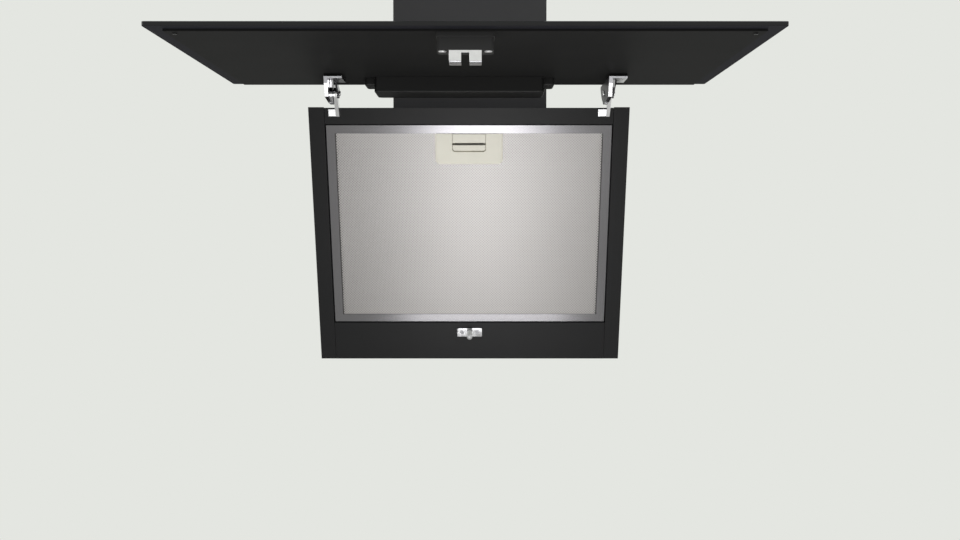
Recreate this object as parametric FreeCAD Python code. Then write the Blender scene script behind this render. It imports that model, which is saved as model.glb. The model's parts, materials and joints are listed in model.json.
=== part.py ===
"""Angled wall hood with its glass flap swung open, as separate pieces.

All sizes are millimetres. The wall is the plane Y = 0 and the hood stands out from it towards -Y.
Z is up, X is to the right, and the origin is the middle of the four wall bolts.
"""
import FreeCAD, Part
import math
import os

V = FreeCAD.Vector

# Body
BODY_WIDTH = 528.0
BODY_HEIGHT = 428.0
BODY_TOP_DEPTH = 415.0
SLOPE_DEG = 20.4            # lean of the front, its top edge nearest the cook
SHEET = 1.2
BODY_BELOW_BOLTS = 220.0
WALL_BOLT_SPACING_X = 380.0
WALL_BOLT_SPACING_Z = 300.0
WALL_BOLT_HOLE = 8.0
SIDE_RISE = 1.0             # side panels stand this far above the top panel
FLANGE_WIDTH = 26.0         # folded front flange of a side panel
RETURN_DEPTH = 20.0         # inward fold at the flange's free edge
RETURN_SETBACK = 10.0
FOLD_RADIUS = 0.9
TOP_BAR_HEIGHT = 28.2
BOTTOM_BAR_HEIGHT = 70.2
BAR_RETURN_DEPTH = 14.0
BAR_END_GAP = 0.4
RAIL_WIDTH = 14.0
RAIL_SETBACK = 30.0
SEAT_GAP = 0.3

# Flap and its hinges
GLASS_WIDTH = 790.0
GLASS_THICKNESS = 6.0
GLASS_CORNER = 3.0
FLAP_GAP = 42.0             # closed: from the body's front to the flap's underside
FLAP_OVERHANG = 103.0       # closed: glass above the body's top edge, along the slope
FLAP_FREE_RISE = 10.0       # closed: glass edge above the body's bottom edge, along the slope
PIVOT_FORWARD = 29.5        # from the body's top front edge
PIVOT_UP = 20.0
PANEL_SIDE_MARGIN = 21.0
PANEL_FRONT_MARGIN = 20.0
PANEL_REAR_MARGIN = 14.0
PANEL_DEPTH = 3.0
PANEL_SHEET = 1.0
STRIP_WIDTH = 20.0
STRIP_END = 34.0
PANEL_SCREW_INSET = 15.0
PANEL_SCREW_SIDE = 11.5
PANEL_SCREW_HEAD = 6.0
PANEL_SCREW_HEIGHT = 1.4
HINGE_INSET = 42.7          # hinge centre from the body's side
EAR_THICKNESS = 6.0
EAR_REACH = 155.0           # ear and plate, from the flap's hinge edge
EAR_START = 20.0
EAR_DEPTH = 38.5            # ear's lowest edge under the flap
ARM_THICKNESS = 6.0
ARM_FOOT = 14.0
ARM_BOSS = 9.0
ARM_TAB_WIDTH = 12.6
ARM_TAB_THICKNESS = 2.0
CHEEK_THICKNESS = 3.0       # second ear, on the arm's other side
CHEEK_BOSS = 8.0
CHEEK_ROOT = 24.0           # along the plate
HINGE_PLATE_START = 100.0
HINGE_PLATE_WIDTH = 28.4
HINGE_PLATE_THICKNESS = 3.0
HINGE_SPACER = 4.5
HINGE_SCREW_HEAD = 8.0
HINGE_SCREW_SHANK = 4.0
HINGE_SCREW_INSET = 12.0
PIN_DIAMETER = 6.0
PIN_FIT = 0.02
PIN_HEAD = 9.0
PIN_HEAD_HEIGHT = 1.0
PIN_END = 1.8
RUNNING_GAP = 0.05
SIDE_GAP = 0.3

# Catch under the flap's free edge, and the strike on the bottom bar
CATCH_WIDTH = 73.0
CATCH_DEPTH = 42.0
CATCH_HEIGHT = 22.8
CATCH_CORNER = 3.0
CATCH_FLANGE = 6.0
CATCH_STEP = 1.2
CATCH_ROUND = 5.0
STUD_ABOVE_BOTTOM = 52.0
STUD_DIAMETER = 9.0
STUD_LENGTH = 23.0
STUD_NOSE = 2.6
STUD_TIP = 1.6
SOCKET_GAP = 2.5
SOCKET_DEPTH = 9.0
FORK_SHEET = 1.5
FORK_BEND = 3.0             # outside radius at the lips
FORK_WIDTH = 40.6
FORK_SETBACK = 0.8
FORK_DROP = 15.5
FORK_BAR = 3.2
FORK_SLOT_GAP = 0.55        # each side of the stud
FORK_LIP_PAST_STUD = 5.5
CATCH_SCREW_X = 28.5
CATCH_SCREW_INSET = 8.0
CATCH_SCREW_HEAD = 10.0
CATCH_SCREW_HEIGHT = 1.6
STRIKE_WIDTH = 43.0
STRIKE_HEIGHT = 16.0
STRIKE_THICKNESS = 2.0
STRIKE_CORNER = 1.5
STRIKE_SCREW_X = 13.2
STRIKE_SCREW_HEAD = 6.4
STRIKE_SCREW_SHANK = 3.6
STRIKE_SCREW_LENGTH = 9.0
SCREW_GAP = 0.1

# Control housing under the flap, near its hinge edge
CONTROL_LEFT = -149.0
CONTROL_RIGHT = 120.0
CONTROL_START = 37.0
CONTROL_END = 117.0
CONTROL_HEIGHT = 24.4
CONTROL_WALL = 2.0
CONTROL_CORNER = 8.0
CONTROL_EDGE = 2.0
LUG_WIDTH = 17.0
LUG_START = 53.0
LUG_END = 100.0
LUG_HEIGHT = 17.0
LUG_CORNER = 6.0
BOARD_INSET = 8.0
BOARD_THICKNESS = 1.6
BOARD_POST = 6.0
BOARD_POST_INSET = 16.0
BOARD_DROP = 8.0
TOUCH_WIDTH = 190.0
TOUCH_START = 55.0
TOUCH_END = 80.0
TOUCH_GAP = 2.0

# Grease filter
FILTER_THICKNESS = 9.0
FILTER_INSET = 1.0
FILTER_SIDE_GAP = 2.0
FILTER_TOP_GAP = 1.6
FILTER_BOTTOM_GAP = 2.0
FILTER_BORDER = 14.0
FILTER_SHEET = 0.8
MESH_FIT = 0.2
CORE_FOLDS = 60
CORE_SHEET = 0.5
TONGUE_X = 150.0
TONGUE_WIDTH = 22.0
TONGUE_THICKNESS = 2.5
TONGUE_DEPTH = 3.3          # middle of the tongue behind the body's front
TONGUE_PAST_BAR = 3.0
TONGUE_SLOT_GAP = 0.8
TONGUE_SLOT_BACK = 6.2
HANDLE_WIDTH = 112.0
HANDLE_HEIGHT = 52.4
HANDLE_PROUD = 1.2
HANDLE_BEVEL = 3.5
HANDLE_BEVEL_DEPTH = 1.0
HANDLE_CHAMFER = 5.0
HANDLE_LIP = 1.8
HANDLE_BODY_DEPTH = 6.4
LATCH_WIDTH = 55.0
LATCH_HEIGHT = 15.6
LATCH_TOP_GAP = 0.6
LATCH_SIDE_GAP = 0.4
LATCH_TRAVEL = 3.0
LATCH_STOP_GAP = 0.4
LATCH_SINK = 0.5
LATCH_THICKNESS = 5.7
BOLT_WIDTH = 28.0
BOLT_THICKNESS = 3.0
BOLT_TIP_GAP = 0.2
GRIP_HEIGHT = 11.6
GRIP_GROOVE = 1.8
GRIP_GROOVE_DEPTH = 4.0
GRIP_CORNER = 5.0
HANDLE_SLOT_END = 4.0       # the slot behind the grip stops short of the pocket's sides

# Chimney
CHIMNEY_WIDTH = 275.0
CHIMNEY_DEPTH = 226.0
CHIMNEY_HEIGHT = 500.0
CHIMNEY_RETURN = 15.0
SLEEVE_GAP = 0.5
FOOT_HEIGHT = 20.0
FOOT_LENGTH = 140.0
FOOT_SHEET = 2.0
FOOT_WIDTH = 20.0
VENT_COUNT = 6
VENT_LENGTH = 120.0
VENT_HEIGHT = 5.0
VENT_PITCH = 12.0
VENT_TOP = 62.0
BRACKET_HEIGHT = 30.0
BRACKET_DROP = 15.0
BRACKET_ARM = 36.0
BRACKET_SHEET = 2.0
BRACKET_HOLE = 6.0
BRACKET_HOLE_X = 90.0

# Duct outlet and backdraft flaps
COLLAR_DIAMETER = 149.0
COLLAR_WALL = 2.0
COLLAR_HEIGHT = 55.0
COLLAR_FLANGE = 12.0
LEDGE_HEIGHT = 14.0
LEDGE_WIDTH = 6.5
LEDGE_SHEET = 1.5
DAMPER_SHEET = 1.2
DAMPER_RIM_GAP = 2.5
DAMPER_ROD = 3.0
KNUCKLE_DIAMETER = 7.0
KNUCKLE_HALF = 20.0
KNUCKLE_GAP = 1.0
KNUCKLE_END = 60.0

# Fan
FAN_RADIUS = 84.0
FAN_HALF_WIDTH = 64.0
FAN_HEIGHT = -30.0
FAN_BLADES = 30
BLADE_DEPTH = 16.0
BLADE_SWEEP_DEG = 13.0
BLADE_THICKNESS = 1.6
FAN_RING = 4.0
FAN_DISC = 3.0
HUB_RADIUS = 12.0
HUB_LENGTH = 18.0
SCROLL_GAP = 16.0           # fan to scroll at the tongue
SCROLL_WALL = 2.0
SCROLL_HALF_WIDTH = 75.0
INLET_RADIUS = 64.0
INLET_LIP = 10.0
INLET_WALL = 3.0
INLET_THROAT = 6.0
MOTOR_RADIUS = 46.0
MOTOR_BELL = 12.0
MOTOR_HUB_GAP = 2.0
MOTOR_BORE_DEPTH = 30.0
SHAFT_DIAMETER = 8.0
MOUNT_SHEET = 3.0
MOUNT_ARM_WIDTH = 14.0
MOUNT_FOOT = 12.0
MOUNT_ARMS = 3

# Electrics
BOX_DEPTH = 40.0
BOX_LENGTH = 130.0
BOX_HEIGHT = 110.0
BOX_WALL = 2.0
BOX_FROM_WALL = 60.0
BOX_BELOW_TOP = 58.0
SUPPLY_INSET = 8.0
SUPPLY_STANDOFF = 5.0
SUPPLY_STANDOFF_INSET = 8.0
TRANSFORMER_LENGTH = 48.0
TRANSFORMER_HEIGHT = 40.0
TRANSFORMER_DEPTH = 22.0
RELAY_SIZE = 15.0
RELAY_COUNT = 3
GLAND_X = -110.0
GLAND_Y = -202.0
GLAND_RADIUS = 10.0
GLAND_BORE = 5.0
GLAND_FLANGE = 3.0
GLAND_FLANGE_HEIGHT = 4.0
GLAND_LENGTH = 12.0
LAMP_X = 170.0
LAMP_INSET = 57.0
LAMP_RADIUS = 33.0
LAMP_HEIGHT = 24.0
LAMP_WALL = 2.0
LAMP_RIM = 4.0
LAMP_RIM_HEIGHT = 1.5
LAMP_GAP = 0.3
LENS_THICKNESS = 3.0

# Places that follow from the sizes
SIN = math.sin(math.radians(SLOPE_DEG))
COS = math.cos(math.radians(SLOPE_DEG))
TAN = SIN / COS
HALF = BODY_WIDTH / 2
INNER_HALF = HALF - SHEET
OPENING_HALF = HALF - FLANGE_WIDTH
Z_BOTTOM = -BODY_BELOW_BOLTS
Z_TOP = Z_BOTTOM + BODY_HEIGHT
FRONT_TOP_Y = -BODY_TOP_DEPTH
FRONT_BOTTOM_Y = FRONT_TOP_Y + BODY_HEIGHT * TAN
SLOPE_LENGTH = BODY_HEIGHT / COS
OVERRUN = BODY_TOP_DEPTH    # length of cutting blocks beyond what they cut
SLOPE_FRAME = FreeCAD.Placement(V(0, FRONT_TOP_Y, Z_TOP), FreeCAD.Rotation(V(1, 0, 0), SLOPE_DEG))

PIVOT_Y = FRONT_TOP_Y - PIVOT_FORWARD
PIVOT_Z = Z_TOP + PIVOT_UP
PIVOT_OUT = PIVOT_FORWARD * COS - PIVOT_UP * SIN        # in front of the body's front
PIVOT_ABOVE = PIVOT_FORWARD * SIN + PIVOT_UP * COS      # above its top edge, along the slope
PIVOT_DROP = FLAP_GAP - PIVOT_OUT                       # under the flap's underside
PIVOT_FROM_EDGE = FLAP_OVERHANG - PIVOT_ABOVE           # from the flap's hinge edge
UNDER_Z = PIVOT_Z + PIVOT_DROP
EDGE_Y = PIVOT_Y + PIVOT_FROM_EDGE
GLASS_LENGTH = FLAP_OVERHANG + SLOPE_LENGTH - FLAP_FREE_RISE
HINGE_CENTRES = {"left": -(HALF - HINGE_INSET), "right": HALF - HINGE_INSET}
PANEL_HALF = GLASS_WIDTH / 2 - PANEL_SIDE_MARGIN
PANEL_END = GLASS_LENGTH - PANEL_FRONT_MARGIN

STUD_T = SLOPE_LENGTH - STUD_ABOVE_BOTTOM
STUD_U = STUD_T + FLAP_OVERHANG
FORK_START = PANEL_END - FORK_SETBACK
FORK_SLOT = STUD_DIAMETER / 2 + FORK_SLOT_GAP
FORK_END = STUD_U - FORK_LIP_PAST_STUD

FILTER_HALF = OPENING_HALF - FILTER_SIDE_GAP
FILTER_TOP = TOP_BAR_HEIGHT + FILTER_TOP_GAP
BOTTOM_BAR_TOP = SLOPE_LENGTH - BOTTOM_BAR_HEIGHT
FILTER_BOTTOM = BOTTOM_BAR_TOP - FILTER_BOTTOM_GAP
FILTER_FRONT = FILTER_INSET
FILTER_BACK = FILTER_FRONT + FILTER_THICKNESS
MESH_FRONT = FILTER_FRONT + FILTER_SHEET
WINDOW_TOP = FILTER_TOP + FILTER_BORDER
HANDLE_HALF = HANDLE_WIDTH / 2
HANDLE_FACE = FILTER_FRONT - HANDLE_PROUD
HANDLE_BOTTOM = WINDOW_TOP + HANDLE_HEIGHT
LATCH_TOP = WINDOW_TOP + LATCH_TOP_GAP
LATCH_BOTTOM = LATCH_TOP + LATCH_HEIGHT
LATCH_FACE = HANDLE_FACE + LATCH_SINK
LATCH_BACK = LATCH_FACE + LATCH_THICKNESS
GRIP_TOP = LATCH_BOTTOM + LATCH_TRAVEL + LATCH_STOP_GAP
BOLT_FRONT = LATCH_BACK - BOLT_THICKNESS
BOLT_TIP = TOP_BAR_HEIGHT + BOLT_TIP_GAP

COLLAR_RADIUS = COLLAR_DIAMETER / 2
COLLAR_BORE = COLLAR_RADIUS - COLLAR_WALL
OUTLET_Y = -CHIMNEY_DEPTH / 2
CHIMNEY_HALF = CHIMNEY_WIDTH / 2
CHIMNEY_TOP = Z_TOP + CHIMNEY_HEIGHT
SLEEVE_HALF = CHIMNEY_HALF - SHEET - SLEEVE_GAP
SLEEVE_FRONT = CHIMNEY_DEPTH - SHEET - SLEEVE_GAP
SLEEVE_BACK = SHEET + SLEEVE_GAP
SCROLL_RADIUS = FAN_RADIUS + SCROLL_GAP
SCROLL_STEP = (2 * COLLAR_BORE - SCROLL_RADIUS) / 3
FAN_Y = OUTLET_Y - COLLAR_BORE
SCROLL_TOP = Z_TOP - SHEET
LAMP_Y = FRONT_BOTTOM_Y + LAMP_INSET


def box(x0, x1, y0, y1, z0, z1):
    """Block between two corners."""
    return Part.makeBox(x1 - x0, y1 - y0, z1 - z0, V(x0, y0, z0))


def rod(radius, start, direction, length):
    """Round bar from a point along a direction."""
    return Part.makeCylinder(radius, length, start, direction)


def on_slope(shape):
    """Carry a shape from the upright frame at the body's top front edge to the leaning front."""
    placed = shape.copy()
    placed.Placement = SLOPE_FRAME.multiply(placed.Placement)
    return placed


def slope_box(x0, x1, d0, d1, t0, t1):
    """Block on the leaning front: d is the depth behind it, t the distance down from its top edge."""
    return on_slope(box(x0, x1, d0, d1, -t1, -t0))


def flap_box(x0, x1, u0, u1, w0, w1):
    """Block on the open flap: u runs from its hinge edge forwards, w down from its underside."""
    return box(x0, x1, EDGE_Y - u1, EDGE_Y - u0, UNDER_Z - w1, UNDER_Z - w0)


def flap_point(x, u, w):
    """Point on the open flap, in the same measures as flap_box."""
    return V(x, EDGE_Y - u, UNDER_Z - w)


def rounded_face(corners, place):
    """Face whose corners (a, b, radius) are rounded; place turns (a, b) into a point."""
    legs = []
    for index, (a, b, radius) in enumerate(corners):
        here = V(a, b, 0)
        before = corners[index - 1]
        after = corners[(index + 1) % len(corners)]
        back = (V(before[0], before[1], 0) - here).normalize()
        ahead = (V(after[0], after[1], 0) - here).normalize()
        half_angle = back.getAngle(ahead) / 2
        reach = radius / math.tan(half_angle)
        middle = here + (back + ahead).normalize() * (radius / math.sin(half_angle) - radius)
        legs.append((here + back * reach, middle, here + ahead * reach, radius))
    edges = []
    for index, (start, middle, end, radius) in enumerate(legs):
        points = [place(p.x, p.y) for p in (start, middle, end)]
        if radius > 0:
            edges.append(Part.Arc(*points).toShape())
        next_start = legs[(index + 1) % len(legs)][0]
        if (next_start - end).Length > 1e-6:
            edges.append(Part.LineSegment(points[2], place(next_start.x, next_start.y)).toShape())
    return Part.Face(Part.Wire(edges))


def slope_prism(corners, x0, x1):
    """Outline in (d, t) on the leaning front, drawn out along X."""
    face = rounded_face(corners, lambda d, t: V(x0, d, -t))
    return on_slope(face.extrude(V(x1 - x0, 0, 0)))


def slope_plate(corners, d0, d1):
    """Outline in (x, t) on the leaning front, from depth d0 to d1."""
    face = rounded_face(corners, lambda x, t: V(x, d0, -t))
    return on_slope(face.extrude(V(0, d1 - d0, 0)))


def flap_prism(corners, x0, x1):
    """Outline in (u, w) on the open flap, drawn out along X."""
    face = rounded_face(corners, lambda u, w: flap_point(x0, u, w))
    return face.extrude(V(x1 - x0, 0, 0))


def flap_plate(corners, w0, w1):
    """Outline in (x, u) on the open flap, from w0 down to w1."""
    face = rounded_face(corners, lambda x, u: flap_point(x, u, w0))
    return face.extrude(V(0, 0, w0 - w1))


def rectangle(a0, a1, b0, b1, radius):
    """Corners of a rectangle with equal radii."""
    return [(a0, b0, radius), (a1, b0, radius), (a1, b1, radius), (a0, b1, radius)]


def slope_rod(radius, x, t, d0, d1):
    """Round bar square to the leaning front."""
    return on_slope(rod(radius, V(x, d0, -t), V(0, 1, 0), d1 - d0))


def flap_rod(radius, x, u, w0, w1):
    """Round bar square to the flap, from w0 down to w1."""
    return rod(radius, flap_point(x, u, w0), V(0, 0, -1), w1 - w0)


def mirrored(shape):
    """The same piece for the other side of the hood."""
    return shape.mirror(V(0, 0, 0), V(1, 0, 0))


def joined(first, *others):
    """One solid from pieces that touch."""
    return first.fuse(list(others)).removeSplitter()


def rounded_where(shape, radius, test):
    """Round the edges whose middle point passes a test."""
    edges = [edge for edge in shape.Edges if test(edge.CenterOfMass)]
    return shape.makeFillet(radius, edges)


def near(a, b):
    """True where two places agree within a hundredth."""
    return abs(a - b) < 0.01


def side_panel():
    """Right side panel: leaning side, front flange and the flange's inward fold."""
    z_side = Z_TOP + SIDE_RISE
    y_side = FRONT_TOP_Y - SIDE_RISE * TAN
    profile = [(0, Z_BOTTOM), (0, z_side), (y_side, z_side), (FRONT_BOTTOM_Y, Z_BOTTOM)]
    face = rounded_face([(y, z, 0) for y, z in profile], lambda y, z: V(INNER_HALF, y, z))
    plate = face.extrude(V(SHEET, 0, 0))
    flange = slope_box(OPENING_HALF, HALF, 0, SHEET, -OVERRUN, SLOPE_LENGTH + OVERRUN)
    flange = flange.common(box(0, HALF, -2 * OVERRUN, 0, Z_BOTTOM, z_side))
    fold = slope_box(OPENING_HALF, OPENING_HALF + SHEET, 0, RETURN_DEPTH,
                     RETURN_SETBACK, SLOPE_LENGTH - RETURN_SETBACK)
    panel = joined(plate, flange, fold)
    middle_y = (y_side + FRONT_BOTTOM_Y) / 2
    return rounded_where(panel, FOLD_RADIUS, lambda p: near(p.x, HALF) and near(p.y, middle_y))


def back_panel():
    """Back panel with its four wall bolt holes."""
    panel = box(-INNER_HALF, INNER_HALF, -SHEET, 0, Z_BOTTOM, Z_TOP)
    for x in (-WALL_BOLT_SPACING_X / 2, WALL_BOLT_SPACING_X / 2):
        for z in (-WALL_BOLT_SPACING_Z / 2, WALL_BOLT_SPACING_Z / 2):
            panel = panel.cut(rod(WALL_BOLT_HOLE / 2, V(x, -SHEET - 1, z), V(0, 1, 0), SHEET + 2))
    return panel


def top_panel():
    """Top panel with the outlet hole and the cable gland's hole."""
    panel = box(-INNER_HALF, INNER_HALF, FRONT_TOP_Y, -SHEET, Z_TOP - SHEET, Z_TOP)
    panel = panel.cut(slope_box(-HALF, HALF, -OVERRUN, SHEET, -OVERRUN, OVERRUN))
    panel = panel.cut(rod(COLLAR_BORE, V(0, OUTLET_Y, Z_TOP - 2 * SHEET), V(0, 0, 1), 3 * SHEET))
    gland = V(GLAND_X, GLAND_Y, Z_TOP - 2 * SHEET)
    return panel.cut(rod(GLAND_RADIUS + SCREW_GAP, gland, V(0, 0, 1), 3 * SHEET))


def bottom_panel():
    """Bottom panel with two lamp holes."""
    panel = box(-INNER_HALF, INNER_HALF, -BODY_TOP_DEPTH, -SHEET, Z_BOTTOM, Z_BOTTOM + SHEET)
    panel = panel.cut(slope_box(-HALF, HALF, -OVERRUN, SHEET, -OVERRUN, SLOPE_LENGTH + OVERRUN))
    for x in (-LAMP_X, LAMP_X):
        panel = panel.cut(rod(LAMP_RADIUS + LAMP_GAP, V(x, LAMP_Y, Z_BOTTOM - SHEET), V(0, 0, 1), 3 * SHEET))
    return panel


def front_top_bar():
    """Top bar with a lower fold that keeps the filter's latch."""
    half = OPENING_HALF - BAR_END_GAP
    face = slope_box(-half, half, 0, SHEET, -OVERRUN, TOP_BAR_HEIGHT)
    face = face.common(box(-HALF, HALF, -2 * OVERRUN, 0, Z_BOTTOM, Z_TOP))
    fold = slope_box(-half, half, 0, BAR_RETURN_DEPTH, TOP_BAR_HEIGHT - SHEET, TOP_BAR_HEIGHT)
    keeper = slope_box(-BOLT_WIDTH / 2 - LATCH_SIDE_GAP, BOLT_WIDTH / 2 + LATCH_SIDE_GAP,
                       BOLT_FRONT - LATCH_SIDE_GAP, LATCH_BACK + LATCH_SIDE_GAP,
                       TOP_BAR_HEIGHT - 2 * SHEET, TOP_BAR_HEIGHT + SHEET)
    return joined(face, fold).cut(keeper)


def front_bottom_bar():
    """Bottom bar with an upper fold, slotted for the filter's tongues, and screw holes for the strike."""
    half = OPENING_HALF - BAR_END_GAP
    face = slope_box(-half, half, 0, SHEET, BOTTOM_BAR_TOP, SLOPE_LENGTH + OVERRUN)
    face = face.common(box(-HALF, HALF, -2 * OVERRUN, 0, Z_BOTTOM, Z_TOP))
    fold = slope_box(-half, half, 0, BAR_RETURN_DEPTH, BOTTOM_BAR_TOP, BOTTOM_BAR_TOP + SHEET)
    bar = joined(face, fold)
    reach = TONGUE_WIDTH / 2 + TONGUE_SLOT_GAP
    for x in (-TONGUE_X, TONGUE_X):
        bar = bar.cut(slope_box(x - reach, x + reach, SHEET, TONGUE_SLOT_BACK,
                                BOTTOM_BAR_TOP - SHEET, BOTTOM_BAR_TOP + 2 * SHEET))
    for x in (-STRIKE_SCREW_X, STRIKE_SCREW_X):
        bar = bar.cut(slope_rod(STRIKE_SCREW_SHANK / 2 + SCREW_GAP, x, STUD_T, -SHEET, 2 * SHEET))
    return bar


def filter_rail():
    """Right rail: an angle fixed to the side flange's fold, which the filter's back rests on."""
    t0 = FILTER_TOP + RAIL_SETBACK
    t1 = FILTER_BOTTOM - RAIL_SETBACK
    seat = FILTER_BACK + SEAT_GAP
    leg = slope_box(OPENING_HALF - RAIL_WIDTH, OPENING_HALF, seat, seat + SHEET, t0, t1)
    fixing = slope_box(OPENING_HALF - SHEET, OPENING_HALF, seat, RETURN_DEPTH, t0, t1)
    return joined(leg, fixing)


def open_sleeve(half, front, back, z0, z1):
    """Three-sided cover with two folds at its open back."""
    outer = box(-half, half, -front, -back, z0, z1)
    inner = box(-half + SHEET, half - SHEET, -front + SHEET, -back - SHEET, z0, z1)
    opening = box(-half + CHIMNEY_RETURN, half - CHIMNEY_RETURN, -back - SHEET, -back, z0, z1)
    return outer.cut(inner).cut(opening)


def chimney_lower():
    """Outer chimney cover, standing on the top panel."""
    return open_sleeve(CHIMNEY_HALF, CHIMNEY_DEPTH, 0, Z_TOP, CHIMNEY_TOP)


def chimney_upper():
    """Inner chimney cover, which slides up out of the lower one, with vent slots near its top."""
    sleeve = open_sleeve(SLEEVE_HALF, SLEEVE_FRONT, SLEEVE_BACK, Z_TOP + FOOT_HEIGHT, CHIMNEY_TOP)
    for index in range(VENT_COUNT):
        z = CHIMNEY_TOP - VENT_TOP - index * VENT_PITCH
        sleeve = sleeve.cut(box(-CHIMNEY_HALF, CHIMNEY_HALF,
                                OUTLET_Y - VENT_LENGTH / 2, OUTLET_Y + VENT_LENGTH / 2,
                                z - VENT_HEIGHT / 2, z + VENT_HEIGHT / 2))
    return sleeve


def chimney_feet():
    """Two angles on the top panel: the lower cover is fixed to them and the upper one stands on them."""
    outer = CHIMNEY_HALF - SHEET
    y0 = OUTLET_Y - FOOT_LENGTH / 2
    y1 = OUTLET_Y + FOOT_LENGTH / 2
    upright = box(outer - FOOT_SHEET, outer, y0, y1, Z_TOP, Z_TOP + FOOT_HEIGHT)
    base = box(outer - FOOT_WIDTH, outer, y0, y1, Z_TOP, Z_TOP + FOOT_SHEET)
    foot = joined(upright, base)
    return Part.makeCompound([foot, mirrored(foot)])


def chimney_wall_bracket():
    """Bracket at the upper cover's top: a strap for two wall screws, and an arm along each side."""
    half = SLEEVE_HALF - SHEET
    back = -SLEEVE_BACK - SHEET
    z1 = CHIMNEY_TOP - BRACKET_DROP
    z0 = z1 - BRACKET_HEIGHT
    strap = box(-half, half, back - BRACKET_SHEET, back, z0, z1)
    for x in (-BRACKET_HOLE_X, BRACKET_HOLE_X):
        strap = strap.cut(rod(BRACKET_HOLE / 2, V(x, back - 2 * BRACKET_SHEET, (z0 + z1) / 2), V(0, 1, 0),
                              3 * BRACKET_SHEET))
    arm = box(half - BRACKET_SHEET, half, back - BRACKET_ARM, back, z0, z1)
    return joined(strap, arm, mirrored(arm))


def outlet_collar():
    """Collar that a duct slides over, with an inner ledge for the backdraft flaps."""
    base = V(0, OUTLET_Y, Z_TOP)
    up = V(0, 0, 1)
    tube = rod(COLLAR_RADIUS, base, up, COLLAR_HEIGHT)
    flange = rod(COLLAR_RADIUS + COLLAR_FLANGE, base, up, COLLAR_WALL)
    bore = rod(COLLAR_BORE, base, up, COLLAR_HEIGHT)
    ledge = rod(COLLAR_BORE, base + V(0, 0, LEDGE_HEIGHT), up, LEDGE_SHEET)
    ledge = ledge.cut(rod(COLLAR_BORE - LEDGE_WIDTH, base, up, COLLAR_HEIGHT))
    return joined(tube.fuse(flange).cut(bore), ledge)


DAMPER_Z = Z_TOP + LEDGE_HEIGHT + LEDGE_SHEET + SEAT_GAP
DAMPER_AXIS_Z = DAMPER_Z + KNUCKLE_DIAMETER / 2


def damper_rod():
    """Rod across the collar that both flaps turn on."""
    length = 2 * COLLAR_BORE - 2 * SCREW_GAP
    return rod(DAMPER_ROD / 2, V(-length / 2, OUTLET_Y, DAMPER_AXIS_Z), V(1, 0, 0), length)


def damper_flap(side, spans):
    """Half-round flap in front of (-1) or behind (+1) the rod, with knuckles over the given spans."""
    radius = COLLAR_BORE - DAMPER_RIM_GAP
    start = KNUCKLE_DIAMETER / 2 + KNUCKLE_GAP
    disc = rod(radius, V(0, OUTLET_Y, DAMPER_Z), V(0, 0, 1), DAMPER_SHEET)
    near_y = OUTLET_Y + side * start
    far_y = OUTLET_Y + side * 2 * radius
    flap = disc.common(box(-radius, radius, min(near_y, far_y), max(near_y, far_y),
                           DAMPER_Z, DAMPER_Z + DAMPER_SHEET))
    for x0, x1 in spans:
        knuckle = rod(KNUCKLE_DIAMETER / 2, V(x0, OUTLET_Y, DAMPER_AXIS_Z), V(1, 0, 0), x1 - x0)
        root_y = OUTLET_Y + side * (start + KNUCKLE_GAP)
        web = box(x0, x1, min(OUTLET_Y, root_y), max(OUTLET_Y, root_y), DAMPER_Z, DAMPER_Z + DAMPER_SHEET)
        flap = flap.fuse([knuckle, web])
    hole = rod(DAMPER_ROD / 2 + RUNNING_GAP, V(-radius, OUTLET_Y, DAMPER_AXIS_Z), V(1, 0, 0), 2 * radius)
    return flap.removeSplitter().cut(hole)


def scroll_outline(grow):
    """Edges of the fan scroll in Y and Z: three quarter arcs of growing radius and an upright neck."""
    radius = SCROLL_RADIUS + grow
    step = SCROLL_STEP
    centres = [V(0, FAN_Y, FAN_HEIGHT), V(0, FAN_Y + step, FAN_HEIGHT), V(0, FAN_Y + step, FAN_HEIGHT + step)]
    start = V(0, FAN_Y - grow, FAN_HEIGHT + math.sqrt(radius ** 2 - grow ** 2))
    first = start
    edges = []
    for index, centre in enumerate(centres):
        size = radius + index * step
        begin = 90 + 90 * index
        middle = math.radians(begin + 45)
        end = math.radians(begin + 90)
        via = centre + V(0, size * math.cos(middle), size * math.sin(middle))
        stop = centre + V(0, size * math.cos(end), size * math.sin(end))
        edges.append(Part.Arc(start, via, stop).toShape())
        start = stop
    corners = [start, V(0, start.y, SCROLL_TOP), V(0, first.y, SCROLL_TOP), first]
    edges.extend(Part.LineSegment(a, b).toShape() for a, b in zip(corners, corners[1:]))
    return Part.Face(Part.Wire(edges))


def scroll_half():
    """Right half of the fan scroll, with its inlet hole."""
    outer = scroll_outline(SCROLL_WALL).extrude(V(SCROLL_HALF_WIDTH + SCROLL_WALL, 0, 0))
    inner = scroll_outline(0).extrude(V(SCROLL_HALF_WIDTH, 0, 0))
    inlet = rod(INLET_RADIUS, V(0, FAN_Y, FAN_HEIGHT), V(1, 0, 0), SCROLL_HALF_WIDTH + 2 * SCROLL_WALL)
    return outer.cut(inner).cut(inlet)


def turned(points, axis_x=0.0):
    """Ring or disc turned about the fan's axis from (x, radius) points."""
    corners = [V(axis_x + x, FAN_Y, FAN_HEIGHT + r) for x, r in points]
    face = Part.Face(Part.makePolygon(corners + corners[:1]))
    return face.revolve(V(0, FAN_Y, FAN_HEIGHT), V(1, 0, 0), 360)


def inlet_ring():
    """Right bell mouth: a lip on the scroll's side and a rounded throat through its hole."""
    outside = SCROLL_HALF_WIDTH + SCROLL_WALL
    throat = INLET_RADIUS - SCREW_GAP
    inside = SCROLL_HALF_WIDTH - INLET_THROAT
    lip = INLET_RADIUS + INLET_LIP
    return turned([(outside, lip), (outside, throat), (inside, throat), (inside, throat - INLET_WALL),
                   (outside + SHEET, throat - INLET_WALL), (outside + SCROLL_WALL, throat),
                   (outside + SCROLL_WALL, lip)])


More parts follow.
